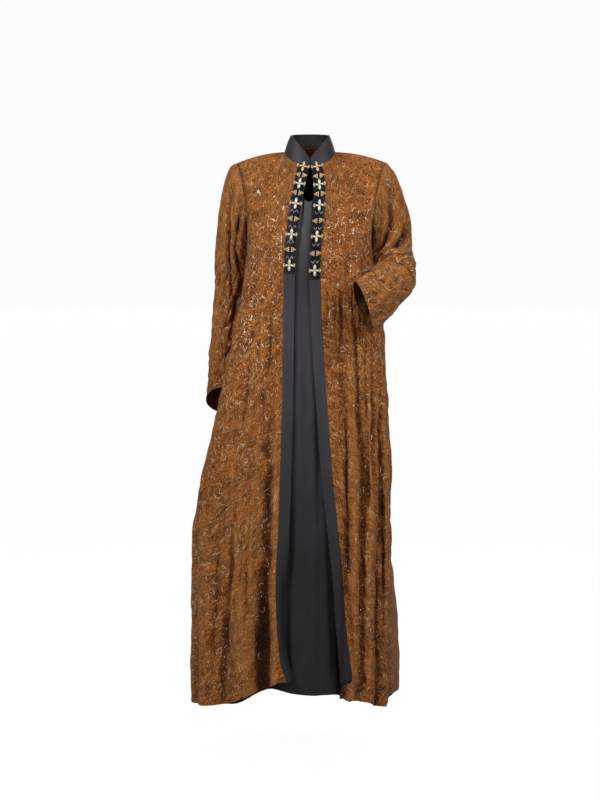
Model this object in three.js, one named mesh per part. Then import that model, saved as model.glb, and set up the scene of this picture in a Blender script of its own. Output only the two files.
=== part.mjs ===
// A floor-length kaftan: an open brown outer coat with set-in sleeves, charcoal bands
// down both front edges, a stand collar, and a charcoal front panel that hangs inside.
// Millimetres, +Z up, the wearer faces -Y and the wearer's left is +X.
// The origin is midway between the two high points of the shoulders.
import * as THREE from 'three';

// ---------------------------------------------------------------- driving sizes
const CLOTH = 1.3; // wall of every cut piece
const SEAM = 0.4; // clear gap between pieces that lie on each other
const SIDE_GAP = 0.62; // the fronts and the back stand this far apart where they are sewn together
const SECTION_POWER = 2.2; // 2 is an ellipse, more is squarer
const UNDERARM_Z = -215;
const JOIN_Z = -330; // below this the panels are plain sections, above it they rise to the yoke
const CLIMB_STEP = 20; // the panels' slope at JOIN_Z is measured over this height
// The yoke's curve keeps its slope at each end for this share of its span.
const YOKE_HOLD = { low: 0.38, high: 0.36 };
const BAND_WIDTH = 28; // each charcoal front band
const BAND_NECK_ANGLE = 28; // where the band's outer edge meets the neckline
const COLLAR_GAP_ANGLE = 1.2; // half the gap between the collar's two front ends
const MITRE = 6; // how firmly two walls lean the same way at a sharp seam
const SHOULDER_TIP = { right: { out: 190, z: -28 }, left: { out: 195, z: -26 } };
const SHOULDER_TIP_Y = 4;
const SHOULDER_BOW = 6; // rise of the middle of the shoulder seam above a straight line
const ARMHOLE = { front: 72, back: 66, scoop: 9, scoopPower: 1.5 };
const NECK = { side: 64, middle: -10, deep: 65, front: -37, back: 14 };
const COLLAR = { side: 50, middle: -7, deep: 53, notch: -20, top: 41, backTop: 48 };
const TRIM_RAISE = 2.2; // the beaded strip's own thickness
const COLLAR_LIFT = 0.75; // the collar stands this far above the neck seam
const BAND_GAP = 0.55; // each band stands this far across from the edge of its front
const SLEEVE_GAP = 1.1; // each sleeve stands this far out from the armhole seam

// cells along each stretch of a panel, so that sewn edges share their corners
const CELLS = { neck: 3, shoulder: 4, armhole: 7, skirt: 17, yoke: 7, cap: 5, sleeve: 9, band: 2 };
const SIDE_ANGLE = 90; // where the fronts meet the back

const table = (columns, rows) =>
  rows.map((row) => Object.fromEntries(columns.map((name, i) => [name, row[i]])));

// The coat's outer section at each level: how far it reaches to the wearer's right and
// left, the Y of its front and back, and the Y where it is widest.
const sections = table(['z', 'right', 'left', 'front', 'back', 'widest'], [
  [-1440, 311, 204, -168, 190, -20],
  [-1250, 309, 203, -160, 182, -25],
  [-1080, 306, 204, -152, 172, -32],
  [-970, 302, 208, -148, 165, -36],
  [-825, 276, 209, -142, 150, -40],
  [-640, 233, 199, -136, 128, -40],
  [-500, 203, 193, -131, 106, -30],
  [-380, 179, 182, -128, 92, -16],
  [-262, 164, 158, -136, 100, -4],
  [-215, 162, 157, -137, 105, 0],
]);

// Where the two bands are sewn to the fronts: X of the seam at each level.
const frontEdges = table(['z', 'right', 'left'], [
  [-1440, -52, 76],
  [-1400, -54, 79],
  [-1370, -58, 88],
  [-1352, -61, 105],
  [-1300, -77, 102],
  [-1190, -86, 92],
  [-1085, -88, 85],
  [-970, -82, 72],
  [-825, -77, 57],
  [-640, -72, 43],
  [-460, -70, 31],
  [-330, -68, 26],
]);

// Height of the coat's hem round the body: 0 is centre front, 90 the wearer's left
// side, 180 centre back and 270 (or -90) the wearer's right side.
const coatHem = table(['angle', 'z'], [
  [-90, -1433],
  [-56, -1424],
  [-43, -1414],
  [-32, -1396],
  [-20, -1369],
  [-9, -1353],
  [20, -1393],
  [35, -1402],
  [50, -1412],
  [62, -1428],
  [90, -1434],
  [97, -1419],
  [112, -1421],
  [140, -1434],
  [180, -1438],
  [270, -1433],
]);

// The largest hanging folds. A positive depth stands out, a negative one goes in; each
// begins at its top level and has its whole depth from its full level down.
const folds = table(['angle', 'width', 'depth', 'top', 'full'], [
  [-75, 7, -9, -560, -1150],
  [-61, 7, 9, -640, -1200],
  [-47, 7, -10, -600, -1250],
  [-33, 6, 9, -800, -1300],
  [-23, 4.5, -21, -950, -1320],
  [25, 4, -9, -640, -950],
  [31, 4, 7, -560, -900],
  [38, 4, -9, -430, -700],
  [46, 4, 7, -480, -800],
  [60, 4.5, -13, -600, -900],
  [70, 5, 8, -640, -1000],
  [106, 9, 40, -830, -1330],
  [124, 6, -16, -720, -1250],
  [140, 7, 13, -720, -1250],
  [157, 7, -17, -700, -1250],
  [173, 7, 13, -700, -1250],
  [190, 7, -15, -720, -1250],
  [206, 7, 14, -720, -1250],
  [223, 7, -17, -740, -1250],
  [240, 7, 12, -760, -1250],
  [256, 6, -10, -780, -1250],
]);

// How far the inner panel hangs inside the coat, and the hem of that panel.
const innerInset = table(['z', 'inset'], [
  [-1440, 34],
  [-1150, 32],
  [-1000, 22],
  [-640, 13],
  [-330, 9],
]);
const innerHem = table(['angle', 'z'], [
  [-87, -1425],
  [-45, -1425],
  [-30, -1404],
  [-18, -1378],
  [-8, -1388],
  [0, -1393],
  [21, -1393],
  [29, -1409],
  [42, -1414],
  [87, -1410],
]);
const INNER_SIDE_ANGLE = 87;
const INNER_SIDE_INSET = 3.2;
const INNER_SIDE_POWER = 10; // how close to the side its inset changes to that
const INNER_NECK_INSET = CLOTH + 1.5 * SEAM;
const INNER_SLACK = { y: 1, z: -2 }; // clears the shoulder where the neck seam ends
// The slit at the inner panel's neck: it keeps its width down to its shoulder, then closes.
const INNER_SLIT = {
  neckAngle: 12, centre: -4, half: 11, shoulder: -110, shoulderY: -101, bottom: -133, bottomY: -112,
};
const HALTER = { drop: 12, hollowOut: 18, hollowForward: 34 }; // its curve under the arm
const INNER_CELLS = { halter: 3, skirt: 14, yoke: 6 };

// The free edge of the right band turns in under itself below this level.
const BAND_TURN = { top: -980, full: -1150, depth: 20 };
// Both bands end here. Below the end of the left one its front kicks back under it.
const BAND_HEM = -1352;
const HEM_KICK = { depth: 12, reach: 40, share: 0.5 };

// Rings of each sleeve from below the armhole to the cuff: centre, half-width across
// the arm, half-width from front to back, and how far the ring is swung round (turn)
// and its front edge raised (lift).
const sleeveColumns = ['x', 'y', 'z', 'across', 'through', 'turn', 'lift'];
const rightSleeve = table(sleeveColumns, [
  [-203, 36, -285, 41, 58, 0, 2],
  [-204, 61, -345, 44, 56, 0, 4],
  [-210, 74, -420, 45, 54, 0, 6],
  [-216, 81, -500, 45, 53, 0, 8],
  [-222, 86, -570, 45, 52, 0, 12],
  [-229, 92, -648, 46, 58, 0, 38],
]);
const leftSleeve = table(sleeveColumns, [
  [217, 8, -262, 53, 60, 4, 8],
  [222, -37, -314, 50, 58, 25, 42],
  [193, -114, -347, 48, 59, 50, 60],
  [160, -166, -376, 46, 64, 66, 67],
  [130, -195, -398, 48, 69, 75, 72],
]);

// A sleeve's cap leaves the armhole this far, low and high, and meets the arm this far up it.
const CAP = { out: 0.86, down: 0.5, leaveLow: 8, leaveHigh: 52, meetLow: 14, meetHigh: 88 };
const RING_STEP = 0.2; // the arm's direction at its first ring is measured over this share of a ring

// The way a panel's cloth arrives at its top seam: out to the side, over towards the
// other face of the body, and up.
const ARRIVE = {
  frontNeck: { out: -0.2, over: 0.5, up: 0.84 },
  backNeck: { out: -0.2, over: 0.4, up: 0.9 },
  highPoint: { out: 0, over: 0.75, up: 0.65 },
  shoulderTip: { out: 0.3, over: 0.75, up: 0.64 },
  underarm: { out: 0, over: 0, up: 1 },
  innerNeck: { out: 0, over: 0.5, up: 0.86 },
  innerSlit: { out: 0, over: 0.25, up: 0.97 },
  halterLow: { out: 0, over: 0, up: 0.8 },
  halterHigh: { out: 0, over: 0.6, up: 0.8 },
};
const FRONT = -1;
const BACK = 1;

// ---------------------------------------------------------------- small helpers
const radians = (degrees) => (degrees * Math.PI) / 180;
const mix = (a, b, t) => a + (b - a) * t;
const clamp01 = (t) => Math.min(1, Math.max(0, t));
const smooth = (t) => clamp01(t) ** 2 * (3 - 2 * clamp01(t));
const signedPower = (value, power) => Math.sign(value) * Math.abs(value) ** power;
const vec = (x, y, z) => new THREE.Vector3(x, y, z);

const arriving = (sign, facing, from, to, t, overT = t) => vec(
  sign * mix(from.out, to.out, t), -facing * mix(from.over, to.over, overT), mix(from.up, to.up, t));

// A smooth curve through one column of a table whose key column rises.
function through(rows, key, column) {
  const keys = rows.map((row) => row[key]);
  const values = rows.map((row) => row[column]);
  const last = keys.length - 1;
  const slopes = values.map((_, i) => {
    const a = Math.max(i - 1, 0);
    const b = Math.min(i + 1, last);
    return (values[b] - values[a]) / (keys[b] - keys[a]);
  });
  return (at) => {
    const x = Math.min(keys[last], Math.max(keys[0], at));
    let i = 0;
    while (i < last - 1 && x > keys[i + 1]) i += 1;
    const span = keys[i + 1] - keys[i];
    const t = (x - keys[i]) / span;
    const rise = t * t * (3 - 2 * t);
    return mix(values[i], values[i + 1], rise)
      + span * (t * (1 - t) ** 2 * slopes[i] - t * t * (1 - t) * slopes[i + 1]);
  };
}

const sectionAt = Object.fromEntries(
  ['right', 'left', 'front', 'back', 'widest'].map((name) => [name, through(sections, 'z', name)]));
const edgeAt = {
  right: through(frontEdges, 'z', 'right'),
  left: through(frontEdges, 'z', 'left'),
};
const coatHemAt = through(coatHem, 'angle', 'z');
const innerInsetAt = through(innerInset, 'z', 'inset');
const innerHemAt = through(innerHem, 'angle', 'z');

// ---------------------------------------------------------------- the coat's surface
function foldAt(angle, z) {
  return folds.reduce((sum, fold) => {
    const off = ((((angle - fold.angle + 180) % 360) + 360) % 360) - 180;
    const ramp = smooth((fold.top - z) / (fold.top - fold.full));
    return sum + fold.depth * ramp * Math.exp(-((off / fold.width) ** 2));
  }, 0);
}

// A point of the coat's outer face, moved in by inset.
function bodyPoint(angle, z, inset = 0) {
  const sine = Math.sin(radians(angle));
  const cosine = Math.cos(radians(angle));
  const side = sine >= 0 ? sectionAt.left(z) : sectionAt.right(z);
  const widest = sectionAt.widest(z);
  const deep = cosine >= 0 ? widest - sectionAt.front(z) : sectionAt.back(z) - widest;
  const power = 2 / SECTION_POWER;
  const out = vec(sine * deep, -cosine * side, 0).normalize();
  return vec(side * signedPower(sine, power), widest - deep * signedPower(cosine, power), z)
    .addScaledVector(out, foldAt(angle, z) - inset);
}

// The section angle at which the coat's front has a given X.
function angleOfX(x, z) {
  const side = x >= 0 ? sectionAt.left(z) : sectionAt.right(z);
  const share = Math.min(1, Math.abs(x) / side) ** (SECTION_POWER / 2);
  return Math.sign(x) * THREE.MathUtils.radToDeg(Math.asin(share));
}

// The neckline, by angle round the neck: 0 centre front, 90 wearer's left, 180 back.
function neckPoint(angle) {
  const c = Math.cos(radians(angle));
  const level = (NECK.front + NECK.back) / 4;
  const slope = (NECK.front - NECK.back) / 2;
  return vec(
    NECK.side * Math.sin(radians(angle)),
    NECK.middle - NECK.deep * c,
    level + slope * c + level * Math.cos(radians(2 * angle)));
}

function shoulderTip(sign) {
  const tip = sign > 0 ? SHOULDER_TIP.left : SHOULDER_TIP.right;
  return vec(sign * tip.out, SHOULDER_TIP_Y, tip.z);
}

// The armhole, by angle: 0 under the arm, 90 at the front, 180 at the shoulder tip.
function armholePoint(sign, angle) {
  const under = bodyPoint(sign * 90, UNDERARM_Z);
  const tip = shoulderTip(sign);
  const rise = (1 - Math.cos(radians(angle))) / 2;
  const sine = Math.sin(radians(angle));
  const reach = sine >= 0 ? ARMHOLE.front : ARMHOLE.back;
  return vec(
    mix(under.x, tip.x, rise) - sign * ARMHOLE.scoop * Math.abs(sine) ** ARMHOLE.scoopPower,
    mix(under.y, tip.y, rise) - reach * sine,
    mix(under.z, tip.z, rise));
}

// ---------------------------------------------------------------- columns of a panel
// A column climbs the coat from the hem to JOIN_Z and then bends to its top seam.
// Its first cell may end at a level of its own, such as the end of a band beside it.
function column({ angleAt, top, arrive, hem, second, insetAt = () => 0, cells }) {
  const below = (z) => bodyPoint(angleAt(z), z, insetAt(z));
  const start = below(JOIN_Z);
  const climb = start.clone().sub(below(JOIN_Z - CLIMB_STEP)).normalize();
  const span = top.distanceTo(start);
  const curve = new THREE.CubicBezierCurve3(
    start,
    start.clone().addScaledVector(climb, YOKE_HOLD.low * span),
    top.clone().addScaledVector(arrive.clone().normalize(), -YOKE_HOLD.high * span),
    top);
  const rise = second ?? mix(hem, JOIN_Z, 1 / cells.skirt);
  const points = [below(hem)];
  for (let i = 0; i < cells.skirt - 1; i += 1) points.push(below(mix(rise, JOIN_Z, i / (cells.skirt - 1))));
  for (let i = 0; i <= cells.yoke; i += 1) points.push(curve.getPoint(i / cells.yoke));
  return points;
}

// The top seam of half a panel, from centre to side: neckline, shoulder, armhole.
// Each stop has its point, the way the cloth arrives there, and the way its wall leans.
function topStops(sign, facing, neckFrom) {
  const turned = (angle) => sign * (facing === FRONT ? angle : 180 - angle);
  const highPoint = neckPoint(turned(SIDE_ANGLE));
  const tip = shoulderTip(sign);
  const centre = facing === FRONT ? ARRIVE.frontNeck : ARRIVE.backNeck;
  const stops = [];
  for (let i = 0; i < CELLS.neck; i += 1) {
    const t = i / CELLS.neck;
    stops.push({
      point: neckPoint(turned(mix(neckFrom, SIDE_ANGLE, t))),
      arrive: arriving(sign, facing, centre, ARRIVE.highPoint, t),
    });
  }
  for (let i = 0; i < CELLS.shoulder; i += 1) {
    const t = i / CELLS.shoulder;
    stops.push({
      point: highPoint.clone().lerp(tip, t).add(vec(0, 0, 4 * SHOULDER_BOW * t * (1 - t))),
      arrive: arriving(sign, facing, ARRIVE.highPoint, ARRIVE.shoulderTip, t),
      lean: vec(0, 0, MITRE),
    });
  }
  for (let i = 0; i <= CELLS.armhole; i += 1) {
    const t = i / CELLS.armhole;
    const angle = -facing * 180 * (1 - t);
    stops.push({
      point: armholePoint(sign, angle),
      arrive: arriving(sign, facing, ARRIVE.shoulderTip, ARRIVE.underarm, t, 1 - (1 - t) ** 2),
      lean: i < CELLS.armhole ? armholeLean(sign, angle) : vec(sign * MITRE, 0, -MITRE),
    });
  }
  return stops;
}

// Straight out from the middle of the armhole, where a sleeve and a panel share a seam.
function armholeLean(sign, angle) {
  const middle = armholePoint(sign, 0).lerp(armholePoint(sign, 180), 0.5);
  const out = armholePoint(sign, angle).sub(middle);
  const high = (1 - Math.cos(radians(angle))) / 2;
  return out.setX(0).setLength(mix(1, MITRE, high));
}

// ---------------------------------------------------------------- walls
// A closed wall of the given thickness behind a grid of outer points. grid[i][j] is
// column i, point j; lean(i, j) may give a direction that the wall's edge shares with
// its neighbour. A wrapped grid is a tube, whose last column joins its first.
function wall(grid, { thickness = CLOTH, wrapped = false, flip = false, lean = () => null } = {}) {
  const columns = grid.length;
  const rows = grid[0].length;
  const at = (i, j) => grid[wrapped ? (i + columns) % columns : i][j];
  const outward = (i, j) => {
    const i0 = wrapped ? i - 1 : Math.max(i - 1, 0);
    const i1 = wrapped ? i + 1 : Math.min(i + 1, columns - 1);
    const along = at(i1, j).clone().sub(at(i0, j));
    const up = at(i, Math.min(j + 1, rows - 1)).clone().sub(at(i, Math.max(j - 1, 0)));
    const normal = along.cross(up).normalize().multiplyScalar(flip ? -1 : 1);
    const shared = lean(i, j);
    return shared ? normal.add(shared).normalize() : normal;
  };
  const positions = [];
  for (let i = 0; i < columns; i += 1) {
    for (let j = 0; j < rows; j += 1) positions.push(...at(i, j));
  }
  for (let i = 0; i < columns; i += 1) {
    for (let j = 0; j < rows; j += 1) {
      positions.push(...at(i, j).clone().addScaledVector(outward(i, j), -thickness));
    }
  }
  const outer = (i, j) => (i % columns) * rows + j;
  const inner = (i, j) => columns * rows + outer(i, j);
  const index = [];
  const quad = (a, b, c, d) => {
    if (flip) index.push(a, c, b, a, d, c);
    else index.push(a, b, c, a, c, d);
  };
  const spans = wrapped ? columns : columns - 1;
  for (let i = 0; i < spans; i += 1) {
    for (let j = 0; j < rows - 1; j += 1) {
      quad(outer(i, j), outer(i + 1, j), outer(i + 1, j + 1), outer(i, j + 1));
      quad(inner(i, j), inner(i, j + 1), inner(i + 1, j + 1), inner(i + 1, j));
    }
    quad(outer(i + 1, 0), outer(i, 0), inner(i, 0), inner(i + 1, 0));
    quad(outer(i, rows - 1), outer(i + 1, rows - 1), inner(i + 1, rows - 1), inner(i, rows - 1));
  }
  if (!wrapped) {
    const end = columns - 1;
    for (let j = 0; j < rows - 1; j += 1) {
      quad(outer(0, j), outer(0, j + 1), inner(0, j + 1), inner(0, j));
      quad(outer(end, j + 1), outer(end, j), inner(end, j), inner(end, j + 1));
    }
  }
  const geometry = new THREE.BufferGeometry();
  geometry.setAttribute('position', new THREE.Float32BufferAttribute(positions, 3));
  geometry.setIndex(index);
  return geometry;
}

// ---------------------------------------------------------------- outer fronts and back
const frontEdgeLean = vec(0, -MITRE, 0); // shared by a front and its band
const sideLean = (sign) => vec(sign * MITRE, 0, 0); // shared by a front and the back

// The right front ends level with its band. The left one hangs below its band, so its
// second level is the band's end, and what is under that kicks back.
function frontHem(side, share, hem) {
  if (side === 'right') return { hem: share === 0 ? BAND_HEM : hem };
  const kick = HEM_KICK.depth * (1 - smooth(share / HEM_KICK.share));
  return {
    hem,
    second: mix(BAND_HEM, mix(hem, JOIN_Z, 1 / CELLS.skirt), share),
    insetAt: (z) => kick * smooth((BAND_HEM - z) / HEM_KICK.reach),
  };
}

function frontGeometry(side) {
  const sign = side === 'left' ? 1 : -1;
  const stops = topStops(sign, FRONT, BAND_NECK_ANGLE);
  const last = stops.length - 1;
  const grid = stops.map(({ point, arrive }, i) => {
    const share = i / last;
    const angleAt = (z) => mix(angleOfX(edgeAt[side](z), z), sign * SIDE_ANGLE, share);
    const lower = frontHem(side, share, coatHemAt(angleAt(BAND_HEM)));
    return column({ angleAt, top: point, arrive, cells: CELLS, ...lower });
  });
  const top = grid[0].length - 1;
  const lean = (i, j) => {
    if (i === 0) return frontEdgeLean;
    if (j === top) return stops[i].lean;
    return i === last ? sideLean(sign) : null;
  };
  return wall(grid, { flip: sign < 0, lean }).translate(0, -SIDE_GAP / 2, 0);
}

function backGeometry() {
  const left = topStops(1, BACK, 0).reverse();
  const right = topStops(-1, BACK, 0).slice(1);
  const stops = [...left, ...right];
  const last = stops.length - 1;
  const grid = stops.map(({ point, arrive }, i) => {
    const angle = mix(SIDE_ANGLE, 360 - SIDE_ANGLE, i / last);
    return column({ angleAt: () => angle, top: point, arrive, hem: coatHemAt(angle), cells: CELLS });
  });
  const lean = (i, j) => {
    if (j === grid[0].length - 1) return stops[i].lean;
    if (i === 0) return sideLean(1);
    return i === last ? sideLean(-1) : null;
  };
  return wall(grid, { lean }).translate(0, SIDE_GAP / 2, 0);
}

// ---------------------------------------------------------------- front bands and beaded strips
// Columns of a band from the seam on the front to its free edge.
function bandGrid(side) {
  const sign = side === 'left' ? 1 : -1;
  const grid = [];
  for (let i = 0; i <= CELLS.band; i += 1) {
    const share = i / CELLS.band;
    const turnAt = (z) => (side === 'left' ? 0
      : BAND_TURN.depth * smooth((BAND_TURN.top - z) / (BAND_TURN.top - BAND_TURN.full)));
    const widthAt = (z) => Math.sqrt(BAND_WIDTH ** 2 - turnAt(z) ** 2);
    const angleAt = (z) => angleOfX(edgeAt[side](z) - sign * share * widthAt(z), z);
    grid.push(column({
      angleAt,
      insetAt: (z) => turnAt(z) * share ** 2,
      top: neckPoint(sign * mix(BAND_NECK_ANGLE, COLLAR_GAP_ANGLE, share)),
      arrive: arriving(sign, FRONT, ARRIVE.frontNeck, ARRIVE.frontNeck, 0),
      hem: BAND_HEM,
      cells: side === 'left' ? { ...CELLS, skirt: CELLS.skirt - 1 } : CELLS,
    }));
  }
  return grid;
}

function bandGeometry(side) {
  const sign = side === 'left' ? 1 : -1;
  const lean = (i) => (i === 0 ? frontEdgeLean : null);
  return wall(bandGrid(side), { flip: sign > 0, lean }).translate(-sign * BAND_GAP, -SIDE_GAP / 2, 0);
}

// The strip lies on the top stretch of its band, on the band's own points moved out.
function trimGeometry(side) {
  const sign = side === 'left' ? 1 : -1;
  const grid = bandGrid(side).map((points) => points.slice(-CELLS.yoke - 1));
  const raise = TRIM_RAISE + SEAM;
  const last = grid[0].length - 1;
  const raised = grid.map((points, i) => points.map((point, j) => {
    const up = points[Math.min(j + 1, last)].clone().sub(points[Math.max(j - 1, 0)]);
    const along = grid[CELLS.band][j].clone().sub(grid[0][j]);
    const out = along.cross(up).normalize();
    return point.clone().addScaledVector(out, out.y < 0 ? raise : -raise);
  }));
  return wall(raised, { thickness: TRIM_RAISE, flip: sign > 0 })
    .translate(-sign * BAND_GAP, -SIDE_GAP / 2, 0);
}

// ---------------------------------------------------------------- collar
function collarTop(angle) {
  const sine = Math.abs(Math.sin(radians(angle)));
  const cosine = Math.cos(radians(angle));
  const z = cosine >= 0 ? mix(COLLAR.notch, COLLAR.top, sine)
    : mix(COLLAR.top, COLLAR.backTop, -cosine);
  return vec(COLLAR.side * Math.sin(radians(angle)), COLLAR.middle - COLLAR.deep * cosine, z);
}

function collarGeometry() {
  const half = [];
  for (let i = 0; i < CELLS.band; i += 1) {
    half.push(mix(COLLAR_GAP_ANGLE, BAND_NECK_ANGLE, i / CELLS.band));
  }
  for (let i = 0; i < CELLS.neck; i += 1) half.push(mix(BAND_NECK_ANGLE, 90, i / CELLS.neck));
  for (let i = 0; i < CELLS.neck; i += 1) half.push(mix(90, 180, i / CELLS.neck));
  const angles = [...half, 180, ...half.map((angle) => 360 - angle).reverse()];
  const heights = [0, 0.5, 1];
  const grid = angles.map((angle) => heights.map((t) => neckPoint(angle).lerp(collarTop(angle), t)));
  return wall(grid).translate(0, 0, COLLAR_LIFT);
}

// ---------------------------------------------------------------- inner front panel
// It is sewn in at the neckline and hangs from there, cut away under the arms.
function innerFrontGeometry() {
  const stops = [];
  for (let i = 0; i < INNER_CELLS.halter; i += 1) stops.push({ halter: i / INNER_CELLS.halter });
  for (let i = CELLS.neck - 1; i >= 0; i -= 1) {
    stops.push({ neck: mix(BAND_NECK_ANGLE, 90, i / CELLS.neck) });
  }
  stops.push({ neck: INNER_SLIT.neckAngle }, { slit: 1 });
  const count = stops.length;
  const right = stops.map((stop, i) => ({ ...stop, sign: -1, share: i / count }));
  const left = right.map((stop) => ({ ...stop, sign: 1 })).reverse();
  const all = [...right, { slit: 0, sign: 1, share: 1 }, ...left];
  const grid = all.map((stop) => {
    const angle = stop.sign * INNER_SIDE_ANGLE * (1 - stop.share);
    const toSide = Math.abs(Math.sin(radians(angle))) ** INNER_SIDE_POWER;
    const insetAt = (z) => mix(innerInsetAt(z), INNER_SIDE_INSET, toSide);
    return column({
      angleAt: () => angle,
      insetAt,
      hem: innerHemAt(angle),
      cells: INNER_CELLS,
      ...innerTop(stop),
    });
  });
  return wall(grid);
}

// The inner panel's top edge: under the arm, round to the neck seam, and the slit.
function innerTop(stop) {
  const { sign } = stop;
  const inward = vec(0, 0.6, -0.8).multiplyScalar(INNER_NECK_INSET);
  const slack = vec(0, INNER_SLACK.y, INNER_SLACK.z);
  const neckEnd = mix(SIDE_ANGLE, BAND_NECK_ANGLE, 1 / CELLS.neck);
  if (stop.slit !== undefined) {
    const x = INNER_SLIT.centre + sign * stop.slit * INNER_SLIT.half;
    const y = mix(INNER_SLIT.bottomY, INNER_SLIT.shoulderY, stop.slit);
    const z = mix(INNER_SLIT.bottom, INNER_SLIT.shoulder, stop.slit);
    return { top: vec(x, y, z), arrive: arriving(sign, FRONT, ARRIVE.innerSlit, ARRIVE.innerSlit, 0) };
  }
  if (stop.neck !== undefined) {
    const top = neckPoint(sign * stop.neck).add(inward);
    if (stop.neck > neckEnd - 1) top.add(slack);
    return { top, arrive: arriving(sign, FRONT, ARRIVE.innerNeck, ARRIVE.innerNeck, 0) };
  }
  const hollow = Math.sin(Math.PI * stop.halter);
  const under = bodyPoint(sign * INNER_SIDE_ANGLE, UNDERARM_Z - HALTER.drop, INNER_SIDE_INSET);
  const top = under.lerp(neckPoint(sign * neckEnd).add(inward).add(slack), stop.halter)
    .add(vec(-sign * HALTER.hollowOut, -HALTER.hollowForward, 0).multiplyScalar(hollow));
  return { top, arrive: arriving(sign, FRONT, ARRIVE.halterLow, ARRIVE.halterHigh, stop.halter) };
}

// ---------------------------------------------------------------- sleeves
function sleeveGeometry(rings, sign) {
  const ringAt = Object.fromEntries(sleeveColumns.map((name) => {
    const numbered = rings.map((ring, i) => ({ i, value: ring[name] }));
    return [name, through(numbered, 'i', 'value')];
  }));
  const ringPoint = (at, angle) => {
    const turn = radians(ringAt.turn(at));
    const lift = radians(ringAt.lift(at));
    const inward = vec(-sign * Math.cos(turn), Math.sin(turn), 0);
    const ahead = vec(-sign * Math.sin(turn), -Math.cos(turn), 0).multiplyScalar(Math.cos(lift))
      .add(vec(0, 0, Math.sin(lift)));
    return vec(ringAt.x(at), ringAt.y(at), ringAt.z(at))
      .addScaledVector(inward, ringAt.across(at) * Math.cos(radians(angle)))
      .addScaledVector(ahead, ringAt.through(at) * Math.sin(radians(angle)));
  };
  const outward = vec(sign * CAP.out, 0, -CAP.down);
  const around = 2 * CELLS.armhole;
  const last = rings.length - 1;
  const grid = [];
  const leans = [];
  for (let i = 0; i < around; i += 1) {
    const angle = (360 * i) / around;
    const start = armholePoint(sign, angle);
    const end = ringPoint(0, angle);
    const along = end.clone().sub(ringPoint(RING_STEP, angle)).normalize();
    const high = (1 - Math.cos(radians(angle))) / 2;
    const cap = new THREE.CubicBezierCurve3(
      start,
      start.clone().addScaledVector(outward, mix(CAP.leaveLow, CAP.leaveHigh, high)),
      end.clone().addScaledVector(along, mix(CAP.meetLow, CAP.meetHigh, high)),
      end);
    const points = [];
    for (let j = 0; j < CELLS.cap; j += 1) points.push(cap.getPoint(j / CELLS.cap));
    for (let j = 0; j <= CELLS.sleeve; j += 1) points.push(ringPoint((last * j) / CELLS.sleeve, angle));
    grid.push(points);
    leans.push(armholeLean(sign, angle));
  }
  const lean = (i, j) => (j === 0 ? leans[i] : null);
  return wall(grid, { wrapped: true, flip: sign > 0, lean }).translate(sign * SLEEVE_GAP, 0, 0);
}

// ---------------------------------------------------------------- the garment
const chiffon = { color: 0x9a6436, roughness: 0.85, metalness: 0 };
const crepe = { color: 0x3c3a3e, roughness: 0.7, metalness: 0 };
const beadwork = { color: 0x1c1a1b, roughness: 0.35, metalness: 0.2 };

function piece(name, geometry, finish) {
  const mesh = new THREE.Mesh(geometry, new THREE.MeshStandardMaterial(finish));
  mesh.name = name;
  return mesh;
}

const kaftan = new THREE.Group();
kaftan.add(
  piece('front_right', frontGeometry('right'), chiffon),
  piece('front_left', frontGeometry('left'), chiffon),
  piece('back', backGeometry(), chiffon),
  piece('sleeve_right', sleeveGeometry(rightSleeve, -1), chiffon),
  piece('sleeve_left', sleeveGeometry(leftSleeve, 1), chiffon),
  piece('band_right', bandGeometry('right'), crepe),
  piece('band_left', bandGeometry('left'), crepe),
  piece('collar', collarGeometry(), crepe),
  piece('inner_front', innerFrontGeometry(), crepe),
  piece('trim_right', trimGeometry('right'), beadwork),
  piece('trim_left', trimGeometry('left'), beadwork),
);

export default kaftan;
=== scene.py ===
"""A floor-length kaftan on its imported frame: a crinkled brown coat with charcoal bands,
a stand collar, a charcoal panel inside and two beaded strips.
The cloth is worked out in millimetres, wearer facing -Y, wearer's left at +X, and
turned into metres when its meshes are made."""
import math

import bpy
import numpy as np
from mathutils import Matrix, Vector


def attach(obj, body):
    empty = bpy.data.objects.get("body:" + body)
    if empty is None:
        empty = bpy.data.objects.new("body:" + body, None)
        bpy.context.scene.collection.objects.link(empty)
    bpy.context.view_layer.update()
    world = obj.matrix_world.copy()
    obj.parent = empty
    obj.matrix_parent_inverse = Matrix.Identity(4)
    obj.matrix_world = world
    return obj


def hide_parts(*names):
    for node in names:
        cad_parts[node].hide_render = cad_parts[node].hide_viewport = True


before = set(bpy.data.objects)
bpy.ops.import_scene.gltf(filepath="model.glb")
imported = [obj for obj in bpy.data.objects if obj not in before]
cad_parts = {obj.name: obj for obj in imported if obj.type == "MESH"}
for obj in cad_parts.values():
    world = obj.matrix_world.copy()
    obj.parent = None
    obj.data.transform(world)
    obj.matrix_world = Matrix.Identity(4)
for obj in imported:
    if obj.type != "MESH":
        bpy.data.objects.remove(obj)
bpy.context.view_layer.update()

METRES = 0.001  # the tables below are in millimetres
SIGN = {"left": 1, "right": -1}

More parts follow.
